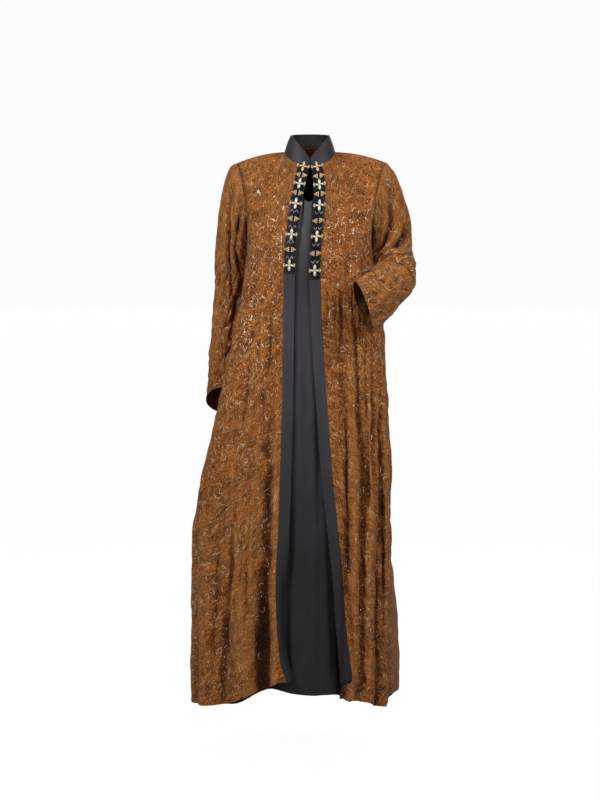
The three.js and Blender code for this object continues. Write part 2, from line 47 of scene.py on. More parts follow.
# ---------------- sizes shared with the CAD
SECTION_POWER = 2.2
UNDERARM_Z = -215
JOIN_Z = -330
BAND_WIDTH = 28
BAND_NECK_ANGLE = 28
COLLAR_GAP_ANGLE = 1.2
BAND_HEM = -1352
SHOULDER_TIP_RIGHT, SHOULDER_TIP_LEFT = (-190, 4, -28), (195, 4, -26)
SHOULDER_BOW = 6
ARMHOLE_FRONT, ARMHOLE_BACK, ARMHOLE_SCOOP, SCOOP_POWER = 72, 66, 9, 1.5
NECK_SIDE, NECK_MIDDLE, NECK_DEEP, NECK_FRONT, NECK_BACK = 64, -10, 65, -37, 14
COLLAR_SIDE, COLLAR_MIDDLE, COLLAR_DEEP = 50, -7, 53
COLLAR_NOTCH, COLLAR_TOP, COLLAR_BACK_TOP = -20, 41, 48
CELLS_NECK, CELLS_SHOULDER, CELLS_ARMHOLE = 3, 4, 7

# ---------------- the visible cloth's own sizes
SHELL = 0.9  # thickness
SEAM = 0.4  # gap at the bands and collar, less than the solids have
SLEEVE_GAP = 0.8  # how far a sleeve stands out from its armhole, also less

# ---------------- tables


def table(columns, rows):
    return [dict(zip(columns.split(), row)) for row in rows]


SECTIONS = table("z right left front back widest", [
    (-1440, 311, 204, -168, 190, -20),
    (-1250, 309, 203, -160, 182, -25),
    (-1080, 306, 204, -152, 172, -32),
    (-970, 302, 208, -148, 165, -36),
    (-825, 276, 209, -142, 150, -40),
    (-640, 233, 199, -136, 128, -40),
    (-500, 203, 193, -131, 106, -30),
    (-380, 179, 182, -128, 92, -16),
    (-262, 164, 158, -136, 100, -4),
    (-215, 162, 157, -137, 105, 0),
])
FRONT_EDGES = table("z right left", [
    (-1440, -52, 76),
    (-1400, -54, 79),
    (-1370, -58, 88),
    (-1352, -61, 105),
    (-1300, -77, 102),
    (-1190, -86, 92),
    (-1085, -88, 85),
    (-970, -82, 72),
    (-825, -77, 57),
    (-640, -72, 43),
    (-460, -70, 31),
    (-330, -68, 26),
])
COAT_HEM = table("angle z", [
    (-90, -1433), (-56, -1424), (-43, -1414), (-32, -1396), (-20, -1369), (-9, -1353),
    (20, -1393), (35, -1402), (50, -1412), (62, -1428), (90, -1434), (97, -1419), (112, -1421),
    (140, -1434), (180, -1438), (270, -1433),
])
FOLDS = table("angle width depth top full", [
    (-75, 7, -9, -560, -1150),
    (-61, 7, 9, -640, -1200),
    (-47, 7, -10, -600, -1250),
    (-33, 6, 9, -800, -1300),
    (-23, 4.5, -21, -950, -1320),
    (25, 4, -9, -640, -950),
    (31, 4, 7, -560, -900),
    (38, 4, -9, -430, -700),
    (46, 4, 7, -480, -800),
    (60, 4.5, -13, -600, -900),
    (70, 5, 8, -640, -1000),
    (106, 9, 40, -830, -1330),
    (124, 6, -16, -720, -1250),
    (140, 7, 13, -720, -1250),
    (157, 7, -17, -700, -1250),
    (173, 7, 13, -700, -1250),
    (190, 7, -15, -720, -1250),
    (206, 7, 14, -720, -1250),
    (223, 7, -17, -740, -1250),
    (240, 7, 12, -760, -1250),
    (256, 6, -10, -780, -1250),
])
INNER_INSET = table("z inset", [(-1440, 34), (-1150, 32), (-1000, 22), (-640, 13), (-330, 9)])
INNER_HEM = table("angle z", [
    (-87, -1425), (-45, -1425), (-30, -1404), (-18, -1378), (-8, -1388), (0, -1393),
    (21, -1393), (29, -1409), (42, -1414), (87, -1410),
])
INNER_SIDE_ANGLE = 87
INNER_SIDE_INSET = 3.2
INNER_SIDE_POWER = 10  # how close to the side its inset changes to that
INNER_NECK_INSET = 1.9
INNER_SLACK = (0, 1, -2)
SLIT_NECK_ANGLE, SLIT_CENTRE, SLIT_HALF, SLIT_FREE = 12, -4, 11, 3
SLIT_SHOULDER, SLIT_SHOULDER_Y, SLIT_BOTTOM, SLIT_BOTTOM_Y = -110, -101, -133, -112
HALTER_DROP, HALTER_OUT, HALTER_FORWARD = 12, 18, 34
BAND_TURN_TOP, BAND_TURN_FULL, BAND_TURN_DEPTH = -980, -1150, 20
KICK_DEPTH, KICK_REACH, KICK_SHARE = 12, 40, 0.5

RIGHT_SLEEVE = table("x y z across through turn lift", [
    (-203, 36, -285, 41, 58, 0, 2),
    (-204, 61, -345, 44, 56, 0, 4),
    (-210, 74, -420, 45, 54, 0, 6),
    (-216, 81, -500, 45, 53, 0, 8),
    (-222, 86, -570, 45, 52, 0, 12),
    (-229, 92, -648, 46, 58, 0, 38),
])
LEFT_SLEEVE = table("x y z across through turn lift", [
    (217, 8, -262, 53, 60, 4, 8),
    (222, -37, -314, 50, 58, 25, 42),
    (193, -114, -347, 48, 59, 50, 60),
    (160, -166, -376, 46, 64, 66, 67),
    (130, -195, -398, 48, 69, 75, 72),
])

# ---------------- creases placed one by one
# Each runs from one point of the cloth to another. On the fronts and the inner panel the
# points are X and Z as seen from in front; on the back they are millimetres round from
# the centre back, towards the wearer's left, and Z.
CREASE = "from_p from_q to_p to_q width depth"
FRONT_RIGHT_CREASES = table(CREASE, [
    (-152, -120, -140, -330, 7, -4.5),
    (-128, -90, -118, -260, 10, -2.0),
    (-140, -230, -150, -520, 6, -3.2),
    (-96, -300, -104, -640, 8, -2.2),
    (-120, -380, -138, -860, 6, 2.6),
    (-150, -420, -182, -900, 7, -3.4),
    (-84, -520, -96, -1010, 5, 2.6),
    (-102, -560, -122, -1560, 13, -12.0),
    (-140, -760, -158, -1500, 7, 4.0),
    (-160, -640, -206, -1240, 6, 3.2),
    (-176, -700, -232, -1500, 7, -5.2),
    (-158, -980, -184, -1500, 5, -3.6),
    (-206, -900, -252, -1500, 6, 3.2),
    (-228, -1050, -276, -1500, 6, -3.4),
    (-92, -760, -95, -1560, 6, 5.0),
])
FRONT_LEFT_CREASES = table(CREASE, [
    (150, -110, 128, -330, 8, -4.0),
    (104, -150, 96, -380, 10, -2.4),
    (78, -340, 80, -520, 5, -5.0),
    (64, -420, 72, -800, 5, 3.0),
    (116, -400, 122, -780, 5, -7.0),
    (96, -460, 104, -960, 6, 3.8),
    (140, -440, 148, -960, 5.5, -7.5),
    (158, -470, 168, -960, 5, -6.0),
    (90, -560, 98, -1160, 4.5, -5.6),
    (62, -860, 82, -1240, 5, 2.6),
    (176, -560, 190, -1260, 5.5, -8.0),
    (112, -840, 124, -1500, 6, 2.9),
    (134, -900, 140, -1500, 5, -3.8),
    (152, -960, 158, -1500, 6, 3.0),
    (170, -1040, 174, -1500, 5, -3.4),
    (104, -1060, 118, -1500, 5, -2.7),
])
BACK_CREASES = table(CREASE, [
    (-70, -60, -120, -260, 12, -3.0),
    (76, -70, 128, -250, 12, -3.2),
    (-40, -180, -66, -520, 10, -3.0),
    (34, -160, 60, -560, 11, -3.2),
    (0, -240, -10, -760, 9, 2.4),
    (-96, -300, -150, -760, 8, -3.2),
    (104, -320, 150, -820, 8, -3.4),
    (-160, -560, -200, -1180, 7, 3.2),
    (160, -540, 196, -1100, 7, 3.0),
    (-36, -620, -44, -1500, 7, -3.6),
    (62, -680, 74, -1500, 7, -3.4),
    (-120, -800, -140, -1500, 6, -3.2),
    (132, -820, 150, -1500, 6, -3.4),
    (-226, -700, -262, -1500, 7, 3.0),
    (232, -760, 262, -1500, 6, -2.6),
])
INNER_CREASES = table(CREASE, [
    (-34, -260, -44, -1500, 9, 3.2),
    (-12, -420, -26, -1500, 12, -3.4),
    (8, -300, 2, -980, 10, 2.6),
    (20, -560, 30, -1500, 9, -3.2),
    (30, -760, 52, -1500, 8, 2.8),
    (-50, -760, -66, -1500, 8, -3.6),
    (6, -960, 10, -1500, 9, 3.0),
    (-120, -500, -150, -1500, 16, -5.0),
    (120, -500, 140, -1500, 14, -4.0),
])
# On the sleeves the points are millimetres round from the front of the arm, towards the
# outside, and millimetres down from the armhole seam.
RIGHT_SLEEVE_CREASES = table(CREASE, [
    (0, -30, -38, 260, 11, -15.0),
    (34, 20, -10, 300, 8, -14.0),
    (-34, 200, 2, 480, 9, -9.0),
    (58, 10, 40, 160, 9, -2.4),
    (-20, 130, 20, 260, 7, -5.4),
    (-52, 200, -8, 330, 7, -6.5),
    (34, 200, -12, 300, 7, 5.0),
    (-40, 300, 30, 380, 7, -6.0),
    (40, 330, -26, 430, 7, 5.0),
    (-30, 400, 34, 470, 6, -5.4),
    (52, 420, 0, 520, 7, -4.6),
    (-34, 500, 28, 580, 7, 2.6),
    (110, 60, 126, 260, 10, -3.2),
    (130, 280, 96, 400, 9, -3.0),
    (86, 440, 130, 560, 9, -2.8),
    (-120, 90, -96, 300, 9, -3.6),
    (-90, 340, -130, 480, 9, -2.8),
    (-78, -60, -78, 330, 34, 6.0),
])
LEFT_SLEEVE_CREASES = table(CREASE, [
    (-70, 200, 30, 20, 9, -18.0),
    (-62, 208, 50, 96, 7, -13.0),
    (-58, 228, 88, 142, 6, -12.0),
    (-66, 250, 84, 232, 8, -24.0),
    (-70, 238, 44, 196, 6, -14.0),
    (-66, 272, 30, 266, 9, -16.0),
    (-44, 190, 70, 120, 6, 6.0),
    (-44, 230, 86, 190, 6, 7.5),
    (-40, 300, 96, 268, 10, 6.0),
    (10, 384, 88, 330, 7, -6.0),
    (56, 60, 60, 200, 9, -3.6),
    (96, 110, 70, 190, 9, -5.0),
    (-20, 330, 40, 400, 8, -3.2),
    (40, 320, 90, 400, 9, 3.0),
    (110, 60, 126, 200, 10, -3.6),
    (120, 290, 96, 380, 9, -3.6),
    (-120, 60, -96, 180, 9, -4.6),
    (-78, -60, -78, 330, 34, 6.0),
    (-70, 150, -70, 300, 26, 8.0),
])


# ---------------- small helpers
def mix(a, b, t):
    return a + (b - a) * t


def smooth(t):
    t = np.clip(t, 0.0, 1.0)
    return t * t * (3 - 2 * t)


def sin_of(angle):
    return np.sin(np.radians(angle))


def cos_of(angle):
    return np.cos(np.radians(angle))


def bell(distance, width):
    """1 at no distance, and less the farther off."""
    return np.exp(-((distance / width) ** 2))


def signed_power(value, power):
    return np.sign(value) * np.abs(value) ** power


def vec(*parts):
    return np.stack(np.broadcast_arrays(*[np.asarray(p, float) for p in parts]), axis=-1)


def length(v):
    return np.linalg.norm(v, axis=-1, keepdims=True)


def unit(v):
    return v / np.maximum(length(v), 1e-9)


def through(rows, column, key=None):
    """A smooth curve through one column of a table, by its key column or its row number."""
    keys = np.array([row[key] for row in rows] if key else range(len(rows)), float)
    values = np.array([row[column] for row in rows], float)
    last = len(keys) - 1
    before = np.maximum(np.arange(last + 1) - 1, 0)
    after = np.minimum(np.arange(last + 1) + 1, last)
    slopes = (values[after] - values[before]) / (keys[after] - keys[before])

    def at(where):
        x = np.clip(np.asarray(where, float), keys[0], keys[-1])
        i = np.clip(np.searchsorted(keys, x) - 1, 0, last - 1)
        span = keys[i + 1] - keys[i]
        t = (x - keys[i]) / span
        bend = t * (1 - t) ** 2 * slopes[i] - t * t * (1 - t) * slopes[i + 1]
        return mix(values[i], values[i + 1], smooth(t)) + span * bend

    return at


LATTICE_SIZE = 256
LATTICE = np.random.default_rng(7).random((LATTICE_SIZE, LATTICE_SIZE))


def noise(x, y, seed=0):
    """Smooth values from -1 to 1 that change over about one unit of x and y."""
    x = np.asarray(x, float) + 17.31 * seed
    y = np.asarray(y, float) + 41.97 * seed
    i, j = np.floor(x).astype(int), np.floor(y).astype(int)
    s, t = smooth(x - i), smooth(y - j)
    i0, j0 = i % LATTICE_SIZE, j % LATTICE_SIZE
    i1, j1 = (i0 + 1) % LATTICE_SIZE, (j0 + 1) % LATTICE_SIZE
    low = mix(LATTICE[i0, j0], LATTICE[i1, j0], s)
    high = mix(LATTICE[i0, j1], LATTICE[i1, j1], s)
    return 2 * mix(low, high, t) - 1


def crease_relief(p, q, creases, seed, period=None):
    """Soft troughs and ridges along lines of the cloth, with uneven depth and course."""
    relief = np.zeros(np.broadcast(p, q).shape)
    for number, crease in enumerate(creases):
        run = np.array([crease["to_p"] - crease["from_p"], crease["to_q"] - crease["from_q"]], float)
        span = math.hypot(*run)
        away_p = p - crease["from_p"]
        if period:
            away_p = (away_p + period / 2) % period - period / 2
        away_q = q - crease["from_q"]
        along = (away_p * run[0] + away_q * run[1]) / span
        off = (away_p * run[1] - away_q * run[0]) / span
        share = along / span
        wander = 0.45 * crease["width"] * noise(along / 55, number, seed)
        fade = smooth(share / 0.28) * smooth((1 - share) / 0.28)
        strength = 1 + 0.4 * noise(along / 38, number + 0.5, seed + 1)
        relief += crease["depth"] * fade * strength * bell(off - wander, crease["width"])
    return relief


# ---------------- the coat's surface
SECTION = {name: through(SECTIONS, name, "z") for name in ("right", "left", "front", "back", "widest")}
EDGE = {name: through(FRONT_EDGES, name, "z") for name in ("right", "left")}
coat_hem_at = through(COAT_HEM, "z", "angle")
inner_inset_at = through(INNER_INSET, "inset", "z")
inner_hem_at = through(INNER_HEM, "z", "angle")


def fold_at(angle, z):
    total = np.zeros(np.broadcast(angle, z).shape)
    for fold in FOLDS:
        off = (angle - fold["angle"] + 180) % 360 - 180
        ramp = smooth((fold["top"] - z) / (fold["top"] - fold["full"]))
        total += fold["depth"] * ramp * bell(off, fold["width"])
    return total


def side_reach(positive, z):
    return np.where(positive, SECTION["left"](z), SECTION["right"](z))


def body_point(angle, z, inset=0.0):
    """A point of the coat's outer face, moved in by inset."""
    angle, z = np.broadcast_arrays(np.asarray(angle, float), np.asarray(z, float))
    sine, cosine = sin_of(angle), cos_of(angle)
    side = side_reach(sine >= 0, z)
    widest = SECTION["widest"](z)
    deep = np.where(cosine >= 0, widest - SECTION["front"](z), SECTION["back"](z) - widest)
    out = unit(vec(sine * deep, -cosine * side, 0))
    power = 2 / SECTION_POWER
    point = vec(side * signed_power(sine, power), widest - deep * signed_power(cosine, power), z)
    return point + out * (fold_at(angle, z) - inset)[..., None]


def angle_of_x(x, z):
    share = np.minimum(1, np.abs(x) / side_reach(x >= 0, z)) ** (SECTION_POWER / 2)
    return np.sign(x) * np.degrees(np.arcsin(share))


def neck_point(angle):
    c = cos_of(angle)
    level = (NECK_FRONT + NECK_BACK) / 4
    slope = (NECK_FRONT - NECK_BACK) / 2
    z = level + slope * c + level * cos_of(2 * angle)
    return vec(NECK_SIDE * sin_of(angle), NECK_MIDDLE - NECK_DEEP * c, z)


def shoulder_tip(sign):
    return np.array(SHOULDER_TIP_LEFT if sign > 0 else SHOULDER_TIP_RIGHT, float)


def armhole_point(sign, angle):
    """0 is under the arm, 90 at the front and 180 at the shoulder tip."""
    under, tip = body_point(sign * 90, UNDERARM_Z), shoulder_tip(sign)
    rise = (1 - cos_of(angle)) / 2
    sine = sin_of(angle)
    reach = np.where(sine >= 0, ARMHOLE_FRONT, ARMHOLE_BACK)
    return vec(
        mix(under[0], tip[0], rise) - sign * ARMHOLE_SCOOP * np.abs(sine) ** SCOOP_POWER,
        mix(under[1], tip[1], rise) - reach * sine,
        mix(under[2], tip[2], rise))


def bezier(a, b, c, d, t):
    return (1 - t) ** 3 * a + 3 * t * (1 - t) ** 2 * b + 3 * t * t * (1 - t) * c + t ** 3 * d


CLIMB_STEP = 20.0  # the slope at JOIN_Z is measured over this height
HOLD_LOW, HOLD_HIGH = 0.38, 0.36  # the bend keeps its slope at each end for this share of its span

# The way the cloth arrives at its top seam: out to the side, over the body, and up.
ARRIVE = {
    "front_neck": (-0.2, 0.5, 0.84), "back_neck": (-0.2, 0.4, 0.9), "high_point": (0, 0.75, 0.65),
    "shoulder_tip": (0.3, 0.75, 0.64), "underarm": (0, 0, 1), "inner_neck": (0, 0.5, 0.86),
    "inner_slit": (0, 0.25, 0.97), "halter_low": (0, 0, 0.8), "halter_high": (0, 0.6, 0.8),
}


def arriving(sign, facing, start, end, t, over_t=None):
    """facing is -1 for the front and 1 for the back."""
    (out, over, up), (out_end, over_end, up_end) = ARRIVE[start], ARRIVE[end]
    over = mix(over, over_end, t if over_t is None else over_t)
    return vec(sign * mix(out, out_end, t), -facing * over, mix(up, up_end, t))


def hang(angle_at, top, arrive, hem, rows, inset_at=None):
    """Columns of points that climb the coat from the hem to JOIN_Z and bend to the top seam."""
    skirt, yoke = rows
    inset_at = inset_at or (lambda z: 0.0)
    z = mix(np.asarray(hem, float)[:, None], JOIN_Z, np.linspace(0, 1, skirt + 1)[None, :])
    below = body_point(angle_at(z), z, inset_at(z))
    start = below[:, -1]
    step = np.full((len(top), 1), JOIN_Z - CLIMB_STEP)
    climb = unit(start - body_point(angle_at(step), step, inset_at(step))[:, 0])
    span = length(top - start)
    handle_low = start + HOLD_LOW * span * climb
    handle_high = top - HOLD_HIGH * span * unit(arrive)
    t = np.linspace(0, 1, yoke + 1)[1:][None, :, None]
    bend = bezier(start[:, None], handle_low[:, None], handle_high[:, None], top[:, None], t)
    return np.concatenate([below, bend], axis=1)


def top_seam(sign, facing, neck_from, share):
    """Points of the top seam of half a panel, from its centre to its side: neckline,
    shoulder, armhole. Also the way the cloth arrives there."""
    cells = share * (CELLS_NECK + CELLS_SHOULDER + CELLS_ARMHOLE)
    neck = np.clip(cells / CELLS_NECK, 0, 1)
    shoulder = np.clip((cells - CELLS_NECK) / CELLS_SHOULDER, 0, 1)
    armhole = np.clip((cells - CELLS_NECK - CELLS_SHOULDER) / CELLS_ARMHOLE, 0, 1)
    turned = mix(neck_from, 90, neck)
    turned = sign * (turned if facing < 0 else 180 - turned)
    high = neck_point(sign * 90.0)
    tip = shoulder_tip(sign)
    bow = vec(0, 0, 4 * SHOULDER_BOW * shoulder * (1 - shoulder))
    angle = -facing * 180 * (1 - armhole)
    on_neck, on_shoulder = cells <= CELLS_NECK, cells <= CELLS_NECK + CELLS_SHOULDER
    point = np.where(on_neck[:, None], neck_point(turned),
                     np.where(on_shoulder[:, None], mix(high, tip, shoulder[:, None]) + bow,
                              armhole_point(sign, angle)))
    centre = "front_neck" if facing < 0 else "back_neck"
    at_neck = arriving(sign, facing, centre, "high_point", neck)
    at_shoulder = arriving(sign, facing, "high_point", "shoulder_tip", shoulder)
    over_t = 1 - (1 - armhole) ** 2
    at_armhole = arriving(sign, facing, "shoulder_tip", "underarm", armhole, over_t)
    arrive = np.where(on_shoulder[:, None], at_shoulder, at_armhole)
    arrive = np.where(on_neck[:, None], at_neck, arrive)
    return point, arrive


# ---------------- grids of cloth
def normals(grid, wrapped=False, outward=1):
    if wrapped:
        along = np.roll(grid, -1, axis=0) - np.roll(grid, 1, axis=0)
    else:
        along = np.gradient(grid, axis=0)
    return unit(np.cross(along, np.gradient(grid, axis=1))) * outward


def edge_distance(grid):
    """Millimetres to each point from the panel's first side edge, and from its bottom."""
    across = np.linalg.norm(np.diff(grid, axis=0), axis=-1)
    across = np.concatenate([np.zeros((1, grid.shape[1])), np.cumsum(across, axis=0)])
    up = np.linalg.norm(np.diff(grid, axis=1), axis=-1)
    up = np.concatenate([np.zeros((grid.shape[0], 1)), np.cumsum(up, axis=1)], axis=1)
    return across, up


def relax(grid, reach=45.0, rounds=60):
    """Evens out the columns below the top seam, whose corners the cloth doesn't keep."""
    at_top = edge_distance(grid)[1]
    at_top = at_top[:, -1:] - at_top
    share = (smooth(at_top / reach) * 0.5)[1:-1, :, None]
    smoothed = grid.copy()
    for _ in range(rounds):
        middle = (smoothed[:-2] + smoothed[2:]) / 2
        smoothed[1:-1] = mix(smoothed[1:-1], middle, share)
    below = smooth((JOIN_Z - 20 - grid[..., 2:3]) / 60)
    return mix(smoothed, grid, below)


CRINKLE_LEVEL = 2.8  # the mean height of the ribs, taken off


def ribs_at(x, y, seed):
    """Ribs with narrow valleys between them."""
    return np.sqrt(0.02 + noise(x, y, seed) ** 2)


def crinkle(p, q, seed, coarse=1.0):
    """The up-and-down crinkle of the chiffon: long soft ribs with short ones between."""
    sway = 7 * noise(q / 120, p / 60, seed)
    ribs = 5.2 * ribs_at((p + sway) / 17, q / 90, seed + 1)
    broad = 3.6 * noise((p + sway) / 30, q / 170, seed + 2)
    narrow = 2.6 * ribs_at((p + sway) / 9, q / 42, seed + 4)
    short = 0.9 * noise((p + sway) / 6.5, q / 22, seed + 3)
    return coarse * (ribs + broad + narrow - CRINKLE_LEVEL) + short


def box_mean(field, axis, reach, wrapped):
    """The mean over reach cells to either side along one axis."""
    width = [(reach + 1, reach) if k == axis else (0, 0) for k in range(field.ndim)]
    total = np.cumsum(np.pad(field, width, mode="wrap" if wrapped else "edge"), axis=axis)
    count = 2 * reach + 1
    high = np.take(total, np.arange(count, total.shape[axis]), axis=axis)
    low = np.take(total, np.arange(0, total.shape[axis] - count), axis=axis)
    return (high - low) / count


HOLLOW_REACH = 13.0  # millimetres around a point that count as the cloth near it


def hollows(grid, outward, wrapped):
    """How far, in millimetres, each point lies in below the cloth around it."""
    across = np.linalg.norm(np.diff(grid, axis=0), axis=-1).mean()
    up = np.linalg.norm(np.diff(grid, axis=1), axis=-1).mean()
    soft = grid
    for _ in range(2):
        soft = box_mean(soft, 0, max(1, round(HOLLOW_REACH / across)), wrapped)
        soft = box_mean(soft, 1, max(1, round(HOLLOW_REACH / up)), False)
    return ((soft - grid) * normals(grid, wrapped, outward)).sum(axis=-1)


SHARP_ANGLE = 50


def add_object(name, data):
    obj = bpy.data.objects.new(name, data)
    bpy.context.scene.collection.objects.link(obj)
    return obj


def mesh_object(name, points, faces, uv, material, slot, **shades):
    mesh = bpy.data.meshes.new(name)
    mesh.from_pydata((points * METRES).tolist(), [], faces.tolist())
    layer = mesh.uv_layers.new(name="UVMap")
    layer.data.foreach_set("uv", (uv[faces] * METRES).astype(np.float32).ravel())
    for shade, values in shades.items():
        layer = mesh.attributes.new(shade, "FLOAT", "POINT")
        layer.data.foreach_set("value", values.astype(np.float32).ravel())
    mesh.shade_smooth()
    mesh.set_sharp_from_angle(angle=math.radians(SHARP_ANGLE))
    mesh.update()
    obj = add_object(name, mesh)
    mesh.materials.append(material)
    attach(obj, "root")
    return obj


def shell(name, grid, material, slot, outward=1, wrapped=False, sheer=0.0):
    """A closed thin wall behind a grid of outer points, which carry their hollows for painted shade."""
    columns, rows = grid.shape[:2]
    inner = grid - normals(grid, wrapped, outward) * SHELL
    points = np.concatenate([grid.reshape(-1, 3), inner.reshape(-1, 3)])
    across, up = edge_distance(grid)
    flat = vec(across - across.mean(axis=0), up).reshape(-1, 2)
    uv = np.concatenate([flat, flat])
    number = np.arange(columns * rows).reshape(columns, rows)
    if wrapped:
        number = np.concatenate([number, number[:1]])
    below = columns * rows
    a, b, c, d = number[:-1, :-1], number[1:, :-1], number[1:, 1:], number[:-1, 1:]
    faces = [np.stack([a, b, c, d], -1), np.stack([a, d, c, b], -1) + below]
    for line, ahead in ((number[:, 0], False), (number[:, -1], True)):
        s, e = (line[:-1], line[1:]) if ahead else (line[1:], line[:-1])
        faces.append(np.stack([s, e, e + below, s + below], -1))
    if not wrapped:
        for line, ahead in ((number[0], True), (number[-1], False)):
            s, e = (line[:-1], line[1:]) if ahead else (line[1:], line[:-1])
            faces.append(np.stack([s, e, e + below, s + below], -1))
    faces = np.concatenate([f.reshape(-1, 4) for f in faces])
    if outward < 0:
        faces = faces[:, ::-1]
    # The points carry marks that the materials paint light and shade by: the reverse face, painted darker;
    # the flare, painted paler for light through it; and the hollows, painted shade in creases and a
    # painted highlight on ridges.
    hollow = hollows(grid, outward, wrapped).ravel()
    return mesh_object(name, points, faces, uv, material, slot,
                       reverse=np.repeat([0.0, 1.0], columns * rows),
                       sheer=np.tile((sheer + 0 * hollow.reshape(columns, rows)).ravel(), 2),
                       hollow=np.concatenate([hollow, 0 * hollow]))


# ---------------- materials
def sockets(node, **values):
    """Plain values on a node's own sockets, whose names have _ here for each space."""
    for name, value in values.items():
        node.inputs[name.replace("_", " ")].default_value = value


def new_material(name):
    material = bpy.data.materials.new(name)
    material.use_nodes = True
    nodes = material.node_tree.nodes
    nodes.clear()
    output = nodes.new("ShaderNodeOutputMaterial")
    shader = nodes.new("ShaderNodeBsdfPrincipled")
    material.node_tree.links.new(shader.outputs["BSDF"], output.inputs["Surface"])
    return material, shader


class Nodes:
    """Short calls for the node trees below."""

    def __init__(self, material):
        self.tree = material.node_tree

    def link(self, source, target):
        self.tree.links.new(source, target)

    def add(self, kind, **settings):
        node = self.tree.nodes.new("ShaderNode" + kind)
        for key, value in settings.items():
            setattr(node, key, value)
        return node

    def painted(self, name):
        """A value that the cloth's points carry."""
        return self.add("Attribute", attribute_name=name).outputs["Fac"]

    def mapped(self, vector, **values):
        node = self.add("Mapping")
        sockets(node, **values)
        self.link(vector, node.inputs["Vector"])
        return node.outputs["Vector"]

    def turned(self, vector, turn, across, along):
        """Turned first and then stretched."""
        vector = self.mapped(vector, Rotation=(0, 0, math.radians(turn)))
        return self.mapped(vector, Scale=(1 / across, 1 / along, 1))

    def place(self, stretch=(1, 1), turn=0.0):
        """The cloth's own coordinates in metres, turned and then stretched."""
        return self.turned(self.add("UVMap").outputs["UV"], turn, *stretch)

    def flow(self, width, long, turn, swirl=0.03, eddy=0.11, shift=(0.0, 0.0)):
        """Coordinates along brushed strokes that swirl. One unit is a stroke's width or length."""
        moved = self.mapped(self.add("UVMap").outputs["UV"], Location=(*shift, 0))
        eddies = self.add("TexNoise", noise_dimensions="2D")
        sockets(eddies, Scale=1 / eddy, Detail=1.0)
        self.link(moved, eddies.inputs["Vector"])
        centred = self.add("VectorMath", operation="SUBTRACT")
        centred.inputs[1].default_value = (0.5, 0.5, 0.5)
        self.link(eddies.outputs["Color"], centred.inputs[0])
        sized = self.add("VectorMath", operation="MULTIPLY_ADD")
        sized.inputs[1].default_value = (2 * swirl, 2 * swirl, 0)
        self.link(centred.outputs[0], sized.inputs[0])
        self.link(moved, sized.inputs[2])
        return self.turned(sized.outputs[0], turn, width, long)

    def noise(self, vector, scale, detail=2.0, rough=0.5):
        node = self.add("TexNoise", noise_dimensions="2D")
        sockets(node, Scale=scale, Detail=detail, Roughness=rough)
        self.link(vector, node.inputs["Vector"])
        return node.outputs["Fac"]

    def ramp(self, value, low, high, start=0.0, end=1.0):
        node = self.add("MapRange", interpolation_type="SMOOTHSTEP")
        sockets(node, From_Min=low, From_Max=high, To_Min=start, To_Max=end)
        self.link(value, node.inputs["Value"])
        return node.outputs["Result"]

    def blend(self, share, a, b, kind="MIX"):
        node = self.add("Mix", data_type="RGBA", blend_type=kind)
        for socket, value in ((node.inputs[0], share), (node.inputs[6], a), (node.inputs[7], b)):
            if isinstance(value, tuple):
                socket.default_value = (*value, 1.0)
            elif isinstance(value, float):
                socket.default_value = value
            else:
                self.link(value, socket)
        return node.outputs[2]

    def maths(self, kind, a, b):
        node = self.add("Math", operation=kind)
        for socket, value in ((node.inputs[0], a), (node.inputs[1], b)):
            if isinstance(value, (int, float)):
                socket.default_value = value
            else:
                self.link(value, socket)
        return node.outputs[0]

    def bump(self, height, distance, strength, normal=None):
        node = self.add("Bump")
        sockets(node, Distance=distance, Strength=strength)
        self.link(height, node.inputs["Height"])
        if normal:
            self.link(normal, node.inputs["Normal"])
        return node.outputs["Normal"]

    def weave(self, pitch):
        """Crossed threads, pitch metres apart."""
        vector = self.place()
        waves = []
        for direction in ("X", "Y"):
            wave = self.add("TexWave", wave_type="BANDS", bands_direction=direction)
            sockets(wave, Scale=math.pi / (10 * pitch), Distortion=0.6)
            self.link(vector, wave.inputs["Vector"])
            waves.append(wave.outputs["Fac"])
        return self.maths("MAXIMUM", *waves)


